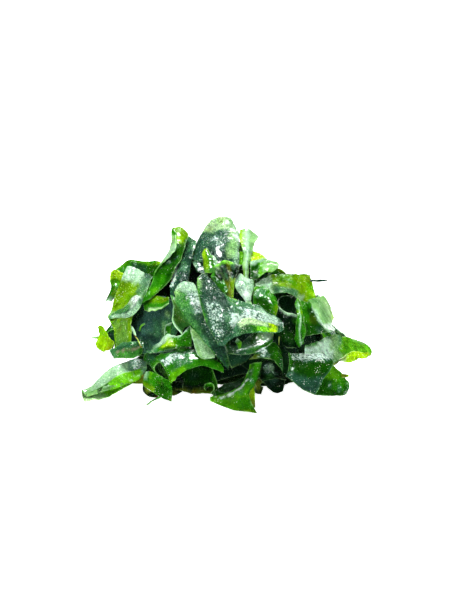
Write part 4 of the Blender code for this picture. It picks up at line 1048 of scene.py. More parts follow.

# Each blade's finish, its hue all over, and the touches brushed on it, in millimetres and places of its
# drawn net. A round touch is (row, column, radius, hue, share). A patch is (first row, last row, first
# column, last column, hue, share), and ends of -1 and 9 lie past the net. Far blades take the entry of
# the blade that they repeat, and inner ones take "shaded" or "inner".
# Many touches are painted light: the whitish ones paint glare and highlights, and the near-black ones paint
# shade in hollows and folds.
BRUSHED = {
    "cave_blade": ("dark", "steel", (
        (-1, 1.1, -1, 9, "slate", 0.5), (1.1, 0.6, 3, "night", 0.3), (1.5, 2.4, 5, "leaf", 0.4),
        (0.95, 1.85, 1.45, 9, "grass", 0.3), (1.1, 1.85, 1.5, 1.58, "mist", 0.8),
        (1, 1.7, 1.75, 1.82, "slate", 0.8), (1.2, 1.9, 1.95, 2.02, "pale", 0.6), (0.7, 2.2, 2, "pale", 0.5),
        (1.7, 2.3, 0.3, 1.8, "slate", 0.8), (1.6, 1.75, 0.8, 1.6, "mist", 0.5), (2.3, 9, 1, 9, "mist", 0.4),
        (2.2, 9, -1, 1.2, "deep", 0.5), (2.05, 0.7, 0.9, "mist", 0.6), (0.8, 0.9, 3, "slate", 0.6))),
    "arch_back": ("green", "leaf", (
        (1.2, 9, 0.2, 9, "deep", 0.95), (1.6, 0.6, 4, "smoke", 0.5), (-1, 2.3, -1, 0.2, "lime", 0.7),
        (2.7, 9, -1, 0.3, "moss", 0.8), (3, 0, 2, "sun", 0.5))),
    "left_cup": ("bright", "leaf", (
        (-1, 0.9, -1, 9, "glow", 1), (0.9, 1.6, -1, 9, "lime", 0.6), (1.7, 2.6, 0.7, 9, "olive", 0.5),
        (2.7, 9, -1, 9, "milk", 0.85))),
    "yellow_back": ("bright", "spring", ((-1, 0.7, -1, 9, "lime", 0.8), (0.7, 9, -1, 0.9, "glow", 0.9))),
    "stem_fan": ("pale", "pale", (
        (-1, 1.6, -1, 0.45, "sun", 0.85), (0.3, 2, 4, "milk", 0.4), (1.4, 2.2, 0.2, 1.8, "mist", 0.5),
        (3.2, 9, -1, 0.6, "moss", 0.7), (-1, 4.4, 0.8, 1.25, "milk", 0.95))),
    "right_fold": ("green", "leaf", (
        (-1, 1, 0.7, 9, "deep", 1), (1, 1.5, 0.6, 9, "lime", 0.8), (-1, 9, -1, 0.5, "milk", 0.7),
        (1.5, 9, -1, 9, "pale", 0.8), (0.3, 0.1, 2.2, "milk", 0.9), (1.2, 2.4, 1.6, 9, "lime", 0.7))),
    "top_tongue": ("grey", "mist", (
        (-1, 1.05, -1, 9, "cream", 0.7), (0.9, 0.6, 3, "olive", 0.5), (0.3, 1.6, 2.5, "moss", 0.5),
        (0.4, 2.6, 3, "grass", 0.6), (1.1, 9, -1, 2.2, "smoke", 0.95), (1.6, 1.3, 3.5, "glare_speckled", 0.7),
        (2.3, 9, 0.8, 2.6, "slate", 0.9), (2, 1.5, 3, "glare_speckled", 0.4), (1, 2.6, 2.2, 3, "pale", 0.8),
        (0.5, 2.3, 1.6, "white", 1), (1, 2.55, 1.6, "white", 1), (1.5, 2.8, 2.2, "white", 1),
        (-1, 3, 2.75, 9, "milk", 0.6), (-1, 9, 2.9, 9, "smoke", 0.7))),
    "grey_blade": ("grey", "smoke", (
        (-1, 0.8, -1, 9, "mist", 0.8), (0.9, 1.5, 0.4, 9, "slate", 0.7), (1.5, 2.5, 0.5, 1.6, "mist", 0.7),
        (1.8, 3.4, -1, 0.5, "glare_speckled", 1), (2.3, 9, 0.9, 9, "slate", 0.85), (3.3, 1.3, 2, "glare_speckled", 0.4))),
    "small_cup": ("green", "leaf", (
        (-1, 1.2, -1, 9, "deep", 0.7), (1.1, 9, -1, 1.1, "moss", 0.7), (1.1, 9, 1.75, 1.92, "cream", 0.9),
        (2.6, 0.5, 2, "olive", 0.5))),
    "left_big": ("bright", "moss", (
        (-1, 1, -1, 9, "milk", 0.95), (-1, 0.5, 2.3, 9, "smoke", 0.9), (0.4, 1.9, 2, 9, "mist", 0.9),
        (1.2, 1.5, 2.2, "milk", 0.9), (1.05, 2.9, -1, 1.7, "moss", 1), (1.9, 2.4, 1.4, 9, "leaf", 0.5),
        (2.1, 3, 1.9, 9, "mist", 0.9), (2.35, 2.6, 3, "milk", 0.8), (3, 3.9, -1, 9, "pale", 0.8),
        (3.3, 2.2, 3, "mist", 0.8), (4.2, 9, 0.4, 2.6, "mist", 0.35), (5.6, 9, 0.3, 2.7, "grass", 0.5),
        (4.8, 1.2, 2.5, "olive", 0.5), (4, 9, -1, 0.15, "lime", 0.6))),
    "tall_blade": ("green", "leaf", (
        (0.9, 4.4, 1.2, 9, "deep", 0.8), (3.2, 9, 2.4, 9, "deep", 0.8), (-1, 0.8, 1, 9, "moss", 1),
        (0.7, 1.15, 1.2, 2.3, "sun", 0.8), (0.5, 3.6, -1, 1, "pale", 0.9), (1.6, 3.2, -1, 0.8, "milk", 0.6),
        (3.2, 1.8, 1.6, "glare_speckled", 0.8), (2.8, 2.2, 1.4, "glare_speckled", 0.6), (4.6, 1.6, 4, "leaf", 0.7),
        (5.4, 1.8, 3, "lime", 0.5))),
    "left_flat": ("green", "leaf", (
        (-1, 9, 0.95, 9, "grass", 0.8), (0.8, 2, 2.5, "leaf", 0.4), (0.5, 9, 0.2, 0.75, "smoke", 0.8),
        (-1, 9, -1, 0.3, "mist", 0.8), (0.4, 2.7, 0.75, 0.95, "clay", 0.8), (-1, 0.5, -1, 9, "mist", 0.6),
        (2.6, 9, -1, 9, "deep", 0.8))),
    "left_diamond": ("bright", "sun", (
        (-1, 1.2, -1, 9, "lime", 0.5), (1.4, 2.6, 1.4, 9, "olive", 0.5), (1.3, 1, 3, "moss", 0.4),
        (2.4, 9, 1.5, 9, "rust", 0.5))),
    "mid_cup": ("green", "grass", (
        (0.3, 2.4, 0.3, 1.6, "olive", 0.4), (-1, 1, -1, 0.3, "milk", 0.25), (1, 9, -1, 0.12, "milk", 0.9),
        (0.4, 1.6, 0.8, 9, "grass", 0.5))),
    "right_big": ("bright", "moss", (
        (1.2, 2.2, -1, 0.8, "leaf", 0.6), (2.2, 0.9, 3, "leaf", 0.6), (1.6, 0.7, 1.6, "deep", 0.6),
        (2.2, 0.2, 1.6, "deep", 0.5), (-1, 0.9, -1, 9, "milk", 0.9), (0.9, 2.6, 1.4, 9, "mist", 0.9),
        (1.2, 1.5, 3, "smoke", 0.5), (2.6, 3, 1.7, 9, "milk", 0.7), (3.4, 9, 0.8, 9, "lime", 0.8),
        (3.8, 1.6, 3, "sun", 0.5))),
    "right_pale": ("pale", "pale", (
        (0.3, 2.6, 0.6, 1.4, "mist", 0.35), (1.2, 9, -1, 0.3, "milk", 1), (1.6, 2.3, 1.7, 9, "glow", 0.9),
        (-1, 0.6, -1, 1, "grass", 0.5), (2.8, 9, -1, 9, "white", 0.7), (0.6, 2.8, 1.3, 9, "cream", 0.5))),
    # Painted shade: the tube's hollow is near black; the pale line along its crest is a painted highlight.
    "right_tube": ("dark", "night", (
        (0, 2, 4, "deep", 0.8), (0.3, 4.4, 3, "leaf", 0.6), (1.4, 3.4, 4, "deep", 0.5),
        (-1, 0.12, 2.4, 9, "milk", 0.9))),
    "right_pocket": ("green", "deep", (
        (-1, 0.7, -1, 9, "leaf", 0.9), (0.5, 2, -1, 0.7, "leaf", 0.7), (1.8, 1.2, 2.5, "olive", 0.3),
        (0.3, 9, 1.85, 9, "milk", 0.8), (2.4, 9, -1, 1.8, "deep", 0.8), (2.7, 1.4, 2, "glare_speckled", 0.4))),
    "right_strip": ("green", "leaf", (
        (-1, 1.2, 1, 9, "lime", 0.5), (1.6, 9, -1, 0.6, "deep", 0.5), (3.2, 1.4, 2, "glare_speckled", 0.6),
        (0.8, 1.6, 2, "sun", 0.4), (0.3, 3.2, 0.85, 1.1, "milk", 0.8))),
    "right_leaflet": ("green", "leaf", (
        (0.4, 2.4, 0.9, 9, "deep", 0.9), (0.2, 1.5, 0.35, 0.9, "mist", 0.6), (1.4, 0.1, 1.6, "milk", 0.7),
        (1.6, 9, -1, 0.6, "leaf", 0.7), (2.7, 9, 0.8, 9, "moss", 0.7), (0.1, 0.2, 2, "lime", 0.5))),
    "dark_arch": ("dark", "night", (
        (0.7, 1, 3.4, "glare_speckled", 1), (0.6, 0.9, 2.2, "milk", 0.8), (2, 1, 3, "deep", 0.8))),
    "right_lower": ("grey", "mist", (
        (-1, 2, 0.3, 2.7, "pale_glare", 1), (-1, 0.9, -1, 0.5, "leaf", 0.8), (1.1, 1, 1.3, "grass", 0.6),
        (1.5, 1.9, 1.2, "grass", 0.5), (0.6, 1.5, 1.2, "grass", 0.5), (1.5, 0.4, 2.5, "pale_glare", 1),
        (1.75, 2.3, -1, 1.2, "pale", 0.8), (2, 2.7, 1.1, 2.4, "pale", 0.7),
        (2.3, 2.75, 0.2, 2, "mist", 0.5), (2.5, 9, -1, 1.7, "lime", 0.9), (2.9, 0.9, 3, "leaf", 0.6),
        (4.2, 0.6, 4, "spring", 0.5), (3.2, 9, -1, 0.2, "pale", 0.8), (2.75, 9, 1.75, 9, "sun", 1),
        (2.8, 9, 2.6, 9, "glow", 0.3), (2.5, 2.75, 1.4, 9, "cream", 0.6),
        (1.2, 2.7, 2.55, 9, "olive", 0.9))),
    "right_foot": ("deep", "deep", (
        (0.9, 2.2, -1, 0.9, "lime", 0.5), (2.1, 9, -1, 1.5, "leaf", 0.9), (1.8, 1.2, 3, "leaf", 0.5),
        (2.8, 9, 0.4, 9, "mist", 0.6), (2.3, 1.5, 2.2, "glare_speckled", 0.5), (1.5, 1.3, 1.6, "glare_speckled", 0.4))),
    "right_band": ("deep", "deep", (
        (-1, 0.75, -1, 9, "glare_speckled", 0.8), (0.5, 1, 1.2, 2.6, "glare_speckled", 0.6), (-1, 1.6, -1, 0.35, "leaf", 0.9),
        (1, 1.9, 0.6, 9, "deep", 0.9), (1.95, 9, -1, 9, "smoke", 0.95), (2.6, 9, 1.5, 9, "slate", 0.5),
        (-1, 9, 2.93, 9, "mist", 0.6))),
    "recess_blade": ("dark", "night", (
        (0.6, 2.2, 0.3, 1.4, "deep", 0.8), (1.2, 0.9, 3, "slate", 0.6), (2.2, 9, -1, 9, "deep", 0.9),
        (2.6, 9, 0.2, 9, "leaf", 0.4), (-1, 2.4, 1.75, 9, "olive", 0.5), (1.2, 2, 1.8, "rust", 0.4))),
    "under_tab": ("deep", "deep", ((-1, 9, -1, 9, "smoke", 0.8), (-1, 9, 1.7, 9, "olive", 0.3))),
    "under_band": ("green", "deep", (
        (0.2, 1.8, -1, 9, "smoke", 0.4), (2.5, 9, -1, 1.1, "pale", 0.75), (3.2, 0.7, 3, "milk", 0.5),
        (1.6, 9, 1.2, 9, "leaf", 0.8), (0.4, 2, 1.5, 9, "smoke", 0.6))),
    "grey_fold": ("deep", "deep", (
        (0.8, 0.9, 3, "glare_speckled", 0.8), (1.9, 9, -1, 9, "leaf", 0.4), (2.6, 9, 0.8, 9, "smoke", 0.5),
        (-1, 0.6, 1, 9, "olive", 0.7))),
    "left_tail": ("grey", "pale", (
        (-1, 5, 1.2, 2.9, "mist", 0.3), (0.6, 3.4, 1.1, 2.75, "milk", 0.5), (1.4, 2.3, 3, "milk", 0.6),
        (2.6, 2, 3, "milk", 0.7), (3.3, 4.4, 1.2, 2.8, "steel", 0.7), (4, 2.3, 4, "glare_speckled", 0.8),
        (-1, 1.7, -1, 0.8, "cream", 0.7), (1.6, 3.6, -1, 0.9, "lime", 1), (-1, 1.6, 2.75, 9, "pale", 0.8),
        (0.9, 1.8, 3.4, 9, "night", 0.8), (-1, 1.9, 3.86, 9, "leaf", 0.9), (1.8, 4.6, 2.95, 9, "lime", 1),
        (1.8, 3, 2.95, 9, "spring", 0.6), (4.4, 9, 1, 9, "steel", 0.7), (-1, 3, 2.86, 2.96, "deep", 0.8))),
    "left_roll": ("green", "deep", (
        (-1, 0.8, 0.5, 9, "leaf", 0.5), (-1, 0.25, -1, 9, "leaf", 0.9), (0.2, 2.6, 1.5, "milk", 0.8),
        (1.4, 3, 5, "smoke", 0.6))),
    "shoulder": ("green", "leaf", (
        (-1, 3.4, -1, 0.35, "deep", 0.9), (0.2, 2, 0.6, 1.4, "glare_speckled", 0.8),
        (1.2, 2.4, 1.4, 2.1, "mist", 0.6), (2, 3.2, 0.7, 1.3, "glare_speckled", 0.6), (-1, 1.8, 2.1, 9, "lime", 0.9),
        (0.6, 2.2, 1.9, 2.2, "glare_speckled", 0.3), (3, 9, 1, 9, "leaf", 0.9), (3.4, 1.6, 3, "moss", 0.6),
        (4.4, 1.4, 3, "deep", 0.6))),
    "pale_curl": ("bright", "leaf", (
        (0.4, 2.5, -1, 1.05, "milk", 0.9), (-1, 0.7, -1, 9, "mist", 0.8), (1, 2.6, 1, 1.6, "sun", 0.95),
        (1.9, 2.7, 0.5, 1.1, "sun", 0.6), (2.6, 9, 0.3, 1.6, "leaf", 0.9), (1.2, 9, 1.7, 9, "deep", 0.8),
        (2.2, 9, -1, 0.15, "milk", 0.9), (3.8, 1, 3, "deep", 0.5))),
    "low_left": ("green", "leaf", (
        (1.2, 9, 0.5, 9, "deep", 0.7), (0.5, 0.3, 2.4, "lime", 0.7), (-1, 0.3, -1, 1.2, "milk", 0.6),
        (-1, 1.3, 1.5, 9, "moss", 0.9), (1.3, 2.4, 0.6, 1.6, "deep", 0.8), (2, 9, -1, 0.7, "leaf", 0.35),
        (2.9, 1.8, 1.5, "moss", 0.5))),
    "pale_under": ("pale", "pale", (
        (0.8, 9, 0.5, 9, "milk", 0.5), (0.4, 1.8, 1.2, 9, "grass", 0.3), (-1, 9, -1, 0.15, "milk", 1))),
    "fork_left": ("grey", "mist", (
        (-1, 0.9, -1, 9, "milk", 0.95), (0.8, 2.2, -1, 1.2, "grass", 0.8), (1, 0.3, 2.5, "pale", 0.8),
        (0.8, 2.6, 1.2, 9, "glare_speckled", 0.7), (1.6, 0.9, 2.5, "leaf", 0.5), (2.2, 3.4, -1, 0.9, "grass", 0.6),
        (2.6, 4.2, 0.6, 9, "slate", 0.7), (2.8, 4, 1, 9, "glare_speckled", 0.45), (4.2, 9, -1, 9, "slate", 0.9),
        (5.4, 9, 0.8, 9, "deep", 0.6), (2, 9, -1, 0.1, "leaf", 0.8))),
    "upright_tip": ("bright", "moss", (
        (-1, 1.4, -1, 0.7, "sun", 0.5), (-1, 9, -1, 0.3, "olive", 0.4), (0.5, 9, 0.9, 9, "leaf", 0.9),
        (1.4, 1.4, 1.6, "deep", 0.7), (0.3, 9, 1.8, 9, "milk", 0.9), (2.5, 9, -1, 9, "grass", 0.5))),
    "white_blade": ("pale", "milk", (
        (-1, 9, 2.85, 9, "grass", 0.8), (0, 3, 2, "leaf", 0.6), (0.4, 2.6, 0.4, 2.6, "glare_speckled", 0.45),
        (1.6, 1.6, 2.5, "white", 0.8), (2.4, 9, -1, 9, "pale", 0.5))),
    "fan": ("dark", "night", (
        (-1, 0.22, -1, 1.6, "spring", 1), (-1, 0.12, 1.6, 9, "milk", 0.8), (0.2, 1, -1, 0.3, "leaf", 0.6),
        (0.2, 1.8, 0.35, 0.4, "pale", 0.7), (0.2, 1.8, 0.75, 0.8, "mist", 1),
        (0.2, 1.8, 1.2, 1.25, "olive", 1), (0.2, 1.8, 1.55, 1.6, "mist", 1), (1.9, 9, -1, 9, "olive", 1),
        (1.7, 9, 1.3, 9, "moss", 0.8))),
    "fork_main": ("grey", "mist", (
        (-1, 2.4, -1, 2.1, "slate", 0.9), (-1, 0.35, -1, 1.2, "grass", 0.8), (0.2, 0.5, 2.5, "pale", 0.8),
        (-1, 1.4, 2.1, 4, "slate", 0.6), (0.3, 1.6, 1.6, 3.6, "glare_speckled", 0.6),
        (1.3, 2.4, 2.8, 4.2, "slate", 0.5), (2, 3.4, 1.8, 3.9, "glare_speckled", 0.9),
        (3.2, 9, 0.9, 3.6, "glare_speckled", 0.8), (4.3, 5.7, 0.4, 3.3, "pale_glare", 0.5),
        (2.6, 3.2, 0.3, 1, "grass", 0.7), (-1, 0.12, -1, 3, "leaf", 0.8), (-1, 2.1, 4.2, 9, "smoke", 0.8),
        (2.1, 3.1, 4, 9, "mist", 0.8), (2.6, 4.7, 5.15, 9, "cream", 1), (2.4, 3.5, 4.1, 5.1, "deep", 0.7),
        (3.4, 5.3, 4.1, 5.15, "leaf", 0.95), (3.8, 4.9, 4.3, 5.1, "spring", 0.7),
        (4.75, 5.35, 4.4, 9, "glow", 1), (5.4, 9, -1, 9, "slate", 0.6), (5.7, 9, 1, 3, "glare_speckled", 0.7))),
    "front_twist": ("green", "leaf", (
        (-1, 1.6, -1, 0.9, "deep", 0.8), (1.9, 3.2, 0.6, 1.6, "lime", 0.4), (-1, 3, 1.7, 9, "deep", 0.6),
        (3, 9, -1, 9, "moss", 0.25), (3.4, 4.8, 1.2, 9, "leaf", 0.7), (4.7, 9, 1.2, 9, "moss", 0.5),
        (1.5, 1.2, 1.5, "glare_speckled", 0.5), (2.6, 0.9, 1.5, "glare_speckled", 0.4), (1.5, 3.9, 0.35, 0.5, "white", 1),
        (-1, 9, -1, 0.15, "lime", 0.5))),
    "base": ("dark", "night", (
        (-1, 9, -1, 9, "deep", 0.35), (-1, 9, 1.6, 9, "deep", 0.9), (-1, 0.5, 0.8, 9, "deep", 0.8),
        (3.5, 9, 0.8, 9, "deep", 0.8), (1, 3.4, 14, "leaf", 0.6), (3.2, 3, 14, "leaf", 0.5),
        (0.2, 2.4, 9, "smoke", 0.6), (3.8, 2, 9, "leaf", 0.5))),
    # Painted shade: inner blades in the shade behind the front, near black with a little slate.
    "shaded": ("dark", "night", (
        (-1, 9, -1, 9, "slate", 0.3), (2, 2, 14, "deep", 0.6), (3.6, 0.5, 10, "deep", 0.6),
        (1, 3.4, 9, "slate", 0.5))),
    "inner": ("dark", "deep", (
        (-1, 9, -1, 0.7, "night", 0.5), (1.3, 2.2, -1, 9, "slate", 0.5), (2, 2, 9, "leaf", 0.6),
        (3.2, 0.9, 8, "leaf", 0.6), (2.6, 3.2, 7, "grass", 0.5), (1, 3.4, 7, "smoke", 0.6))),
}

# Inner blades that lie in the shade behind the front. Their near-black hue is painted shade.
SHADED_BLADES = {"inner_1", "inner_2", "inner_6"}

# Small shreds, tips, curls and folds that the solids leave out: the blade after which each was laid, its
# finish, hue and touches, and its net.
SHREDS = {
    "thorn_right": ("right_big", "dark", "slate", (), [
        [(118.6, 38.2, -2), (118.6, 38.9, -2)],
        [(123.5, 37.5, -2), (123.5, 38.9, -2)],
        [(127.6, 38, -2), (127.6, 38.6, -2)]]),
    "left_tip": ("left_flat", "pale", "pale", (), [
        [(8, 66.9, 1), (8, 67.3, 1)],
        [(11, 66.3, 1), (11, 67.8, 1)],
        [(14, 66, 0), (14, 68.5, 0)]]),
    "cave_curl": ("cave_blade", "green", "leaf", (
        (-1, 0.3, -1, 9, "milk", 0.9), (-1, 9, 1.7, 9, "milk", 0.8)), [
        [(45.6, 65.6, -2.8), (45.7, 63, -2.6), (46.2, 60.4, -2.6)],
        [(47, 65.8, -3.6), (47.2, 62.6, -3.8), (47.7, 59.6, -2.8)],
        [(48.6, 65, -3.6), (48.9, 62, -3.8), (49.6, 59, -2.8)]]),
    "cave_sliver": ("cave_curl", "green", "grass", ((1, 1, 1.5, "lime", 0.7),), [
        [(32.6, 63.4, -4.2), (33.4, 63.9, -4.2)],
        [(33.8, 61, -4.2), (34.6, 61.6, -4.2)],
        [(35.9, 59.5, -4.2), (36.4, 60.1, -4.2)]]),
    "tongue_under": ("top_tongue", "grey", "smoke", ((0, 1, 2, "milk", 0.6),), [
        [(59.3, 28.6, -4), (60.5, 31, -3), (62, 34, -2)],
        [(62.5, 28.6, -4), (63.5, 31, -3), (64.5, 35, -2)],
        [(66.5, 29, -5), (67, 32, -4), (67.5, 36, -3)]]),
    "dark_leaf": ("right_fold", "green", "deep", ((1, 0, 3, "leaf", 0.5),), [
        [(90, 38.5, -7), (91, 43, -5)],
        [(94.5, 37.4, -8), (95.5, 42, -6)],
        [(98.6, 34, -8), (98.4, 38, -6)]]),
    "amber_thread": ("small_cup", "bright", "rust", ((1, 0, 3, "sun", 0.6),), [
        [(30.2, 65.4, 3), (30.6, 65.2, 3)],
        [(32.4, 68.2, 4), (32.9, 67.9, 4)],
        [(34, 71.8, 4), (34.5, 71.6, 4)]]),
    "fold_sliver": ("right_strip", "pale", "olive", (), [
        [(102.6, 66, 4), (103.1, 66, 4)],
        [(102.3, 68, 4), (103.2, 68, 4)],
        [(102.4, 70.4, 4), (102.8, 70.4, 4)]]),
    "dark_round": ("dark_arch", "dark", "night", ((0, 1, 3, "slate", 0.8),), [
        [(94.5, 88, -1), (100, 86.8, -2), (105.8, 87.5, -1)],
        [(97, 91.5, 1), (101, 91, 1), (105.5, 90.5, 1)],
        [(100, 93.8, 0), (102.5, 94.3, 0), (104.5, 93, 0)]]),
    "small_roll": ("recess_blade", "green", "deep", ((0, 2, 4, "leaf", 0.9),), [
        [(65.7, 91.8, 3), (66.2, 89.8, 3), (68.3, 89.2, 3), (70.2, 90.2, 3), (70.4, 92.4, 3),
         (68.6, 93.6, 3)],
        [(66.5, 93.2, -2), (67, 91.3, -2), (69, 90.8, -2), (70.8, 91.8, -2), (71, 93.6, -2),
         (69.3, 94.8, -2)]]),
    "low_left_under": ("left_roll", "dark", "night", ((1, 0, 2, "olive", 0.8), (2, 1, 2, "rust", 0.6)), [
        [(35, 90, 1), (35.2, 93.5, 1)],
        [(38, 92.5, 1), (38, 96, 1)],
        [(42, 94, 1), (43.3, 96.6, 1)]]),
    "spike_left": ("low_left", "green", "leaf", (), [
        [(44, 95.2, 3), (44, 96.6, 3)],
        [(40.5, 97.2, 3), (40.7, 98, 3)],
        [(36.5, 99.7, 3), (36.7, 100.1, 3)]]),
    "twist_back": ("fork_main", "bright", "olive", ((1, 1, 4, "sun", 0.6), (0, 0, 3, "deep", 0.8)), [
        [(84, 89.5, -2), (90.5, 90, -2)],
        [(85, 95, -1), (90.8, 94.5, -1)],
        [(85.6, 100.6, 1), (91, 101.4, 1)]]),
    "shred": ("twist_back", "dark", "night", ((1, 1, 3, "olive", 0.5),), [
        [(90.4, 85.5, -2), (93, 86.6, -2), (94.6, 88.4, -2)],
        [(90.4, 89.6, -2), (92.2, 90, -2), (93.2, 90.6, -2)],
        [(90.5, 91.4, -2), (93, 92, -2), (95, 91.2, -2)],
        [(90.5, 93.8, -2), (92, 94.6, -2), (93.9, 94.8, -2)]]),
    # The inside of the twist's foot; its near-black part is painted shade filling the dark hollow.
    "twist_inner": ("recess_blade", "green", "deep", (
        (-1, 9, 0.9, 9, "night", 0.8), (0.8, 1.8, -1, 0.6, "leaf", 0.5)), [
        [(69.6, 96, 3), (71, 92.6, 1), (75.5, 89.5, -2)],
        [(75.5, 97.6, 4), (77.5, 93.5, 1), (80, 88.5, -2)],
        [(82.5, 95.5, 3), (83.5, 91.5, 1), (84.5, 86.5, -2)],
        [(87.5, 89, 1), (87.5, 86, 0), (88, 83, -2)]]),
    "white_sliver": ("small_cup", "pale", "milk", (), [
        [(28.6, 61, 0), (29.2, 60.8, 0)],
        [(29.6, 63.6, 0), (30.8, 63, 0)],
        [(31.2, 66.2, 0), (31.7, 65.8, 0)]]),
    "brown_flake": ("left_tail", "dark", "olive", ((-1, 9, 0.6, 9, "rust", 0.3),), [
        [(28.3, 89.6, -3), (30.5, 87, -3)],
        [(32, 89.8, -3), (33, 85.6, -3)],
        [(35.6, 89.8, -3), (35.6, 85, -3)]]),
    "left_foot": ("recess_blade", "dark", "night", ((1, 1, 3, "olive", 0.5),), [
        [(46.8, 88, -2), (47, 94.4, -2)],
        [(50.5, 88, -2), (50.6, 95.6, -2)],
        [(55.5, 89, -2), (54.6, 93.6, -2)]]),
    "under_leaf": ("under_band", "bright", "leaf", ((0, 1, 2, "milk", 0.9), (1.6, 1, 2, "lime", 0.8)), [
        [(80.6, 68.4, 2), (82, 66.8, 2)],
        [(82, 70.4, 3), (84, 68.6, 3)],
        [(82.4, 73, 3), (83.8, 71.4, 3)]]),
    "yellow_tip": ("recess_blade", "bright", "olive", ((1, 0, 2, "sun", 0.8),), [
        [(133, 84.6, -1), (133, 87.4, -1)],
        [(137.6, 85.4, -1), (137.8, 86.6, -1)]]),
    "fan_left": ("white_blade", "green", "leaf", ((1, 1, 3, "deep", 0.8), (2, 2, 3, "deep", 0.7)), [
        [(68.6, 36, 7), (70.2, 33.6, 7), (71.6, 32.6, 7)],
        [(70.8, 39.6, 8), (72.6, 38, 8.4), (74.6, 36.8, 8)],
        [(75.8, 45.3, 9), (77, 44.4, 9.4), (77.6, 43, 9)]]),
    "big_lobe": ("crown", "grey", "mist", (
        (2.5, 9, -1, 1.1, "white", 0.7), (0.5, 2.9, 0.2, 0.8, "grass", 0.6),
        (0.3, 3.6, 1.1, 9, "milk", 0.6), (1.6, 3.4, 0.9, 1.1, "slate", 0.6)), [
        [(17.6, 56.4, 10), (17.4, 57.2, 10.6), (17.8, 57.8, 10.4)],
        [(21.4, 53.6, 7.6), (21.6, 55.2, 7.6), (22, 56.8, 6.3)],
        [(26, 51.2, 6.3), (27, 54, 6), (27.6, 57, 4.1)],
        [(29.2, 47.2, 6.2), (31, 50.4, 5.5), (32, 53.6, 3.8)],
        [(32.2, 45.6, 3.6), (33.6, 47, 3.4), (34.4, 48.8, 3.2)]]),
    "green_tab": ("fork_main", "bright", "leaf", ((1, 0, 3, "lime", 0.7),), [
        [(75.6, 46.6, 9), (77.2, 49.8, 10.5)],
        [(80.5, 47.4, 9), (81.5, 51.4, 11)],
        [(84.4, 50, 10), (86, 52.4, 11)]]),
}

# How touches are brushed on: how sharply a patch ends, to a place of the net, how far a round touch stays
# whole, how fast it fades and how softly. How their borders stray is given as shares and sizes of fields.
PATCH_SHARPNESS = 4
PATCH_STRAY = ((0.45, 6.0), (0.27, 2.0))
ROUND_WHOLE = 1.6
ROUND_FADE = 1.25
ROUND_SOFTNESS = 1.2
ROUND_STRAY = ((0.3, 5.0), (0.12, 1.8))


def strayed(points, dice, stray):
    """How far a touch's border strays at each point."""
    return sum(share * smooth_noise(points, dice, size) for share, size in stray)


def touched(blade, touch, stretch, dice):
    """How much a touch covers each point of the blade, from 0 to 1 before its share."""
    size = blade.flat.max(axis=(0, 1))
    column = blade.flat[..., 0] / size[0] * (blade.net[1] - 1)
    row = blade.flat[..., 1] / size[1] * (blade.net[0] - 1)
    if len(touch) == 6:
        first_row, last_row, first_column, last_column = touch[:4]
        inside = np.minimum(np.minimum(row - first_row, last_row - row),
                            np.minimum(column - first_column, last_column - column))
        return np.clip(0.5 + PATCH_SHARPNESS * inside + strayed(blade.middle, dice, PATCH_STRAY), 0, 1)
    middle_row, middle_column, radius = touch[:3]
    near = np.unravel_index(np.argmin((row - middle_row) ** 2 + (column - middle_column) ** 2), row.shape)
    far = np.linalg.norm(blade.middle - blade.middle[near], axis=2) / (radius * stretch)
    far = far + strayed(blade.middle, dice, ROUND_STRAY)
    return np.clip(ROUND_WHOLE - ROUND_FADE * far, 0, 1) ** ROUND_SOFTNESS


def brushed(blade, hue, touches, stretch, dice):
    """The blade's hue and its painted glare specks at each point of its grid, after all the touches."""
    colour = np.broadcast_to(np.array(HUES[hue]), blade.middle.shape).copy()
    frost = np.full(blade.middle.shape[:2], OWN_GLARE_SPECKS * GLARE_SPECKS.get(hue, 0))
    for touch in touches:
        touch_hue, share = touch[-2:]
        amount = share * touched(blade, touch, stretch, dice)
        colour = colour * (1 - amount[..., None]) + np.array(HUES[touch_hue]) * amount[..., None]
        frost = frost * (1 - amount) + GLARE_SPECKS.get(touch_hue, 0) * amount
    return colour, frost


def blade_object(blade, colour, frost, material, shift):
    """The blade's object, with its hue, painted glare specks, flat places and distance to the margin."""
    points, faces, cells, sides = blade.skins()
    mesh = bpy.data.meshes.new(blade.name)
    mesh.from_pydata(((points + shift) * MM).tolist(), [], faces.tolist())
    mesh.shade_smooth()
    flat = np.column_stack([blade.flat.reshape(-1, 2)[cells], sides])
    tint = np.column_stack([colour.reshape(-1, 3)[cells], np.ones(len(points))])
    attributes = (
        ("flat", "FLOAT_VECTOR", "vector", flat),
        ("rim", "FLOAT", "value", blade.rim.ravel()[cells]),
        ("frost", "FLOAT", "value", frost.ravel()[cells]),
        ("tint", "FLOAT_COLOR", "color", tint),
    )
    for name, kind, field, values in attributes:
        mesh.attributes.new(name, kind, "POINT").data.foreach_set(field, values.astype(np.float32).ravel())
    mesh.materials.append(material)
    piece = bpy.data.objects.new(blade.name + "_blade", mesh)
    bpy.context.scene.collection.objects.link(piece)
    return piece


def pleated(number):
    """Deep soft pleats that sink an inner blade inwards."""
    def lift(points):
        around = np.arctan2(points[..., 1] - PLEAT_MIDDLE, points[..., 0])
        wave = sum(share * np.sin(count * around + turn * number + lean * points[..., 2])
                   for count, turn, lean, share in PLEAT_WAVES)
        return PLEAT_DEPTH * (wave - PLEAT_TOP) / 2
    return lift


# The photograph's view: the eye's distance, the height that the picture spans, its middle across and up the
# sheet, the width of the film, and how far the camera sees, in metres.
VIEW_DISTANCE = 2500.0
VIEW_HEIGHT = 303.5
VIEW_MIDDLE = (-1.1, 37.5)
FILM_WIDTH = 36.0
VIEW_REACH = 100

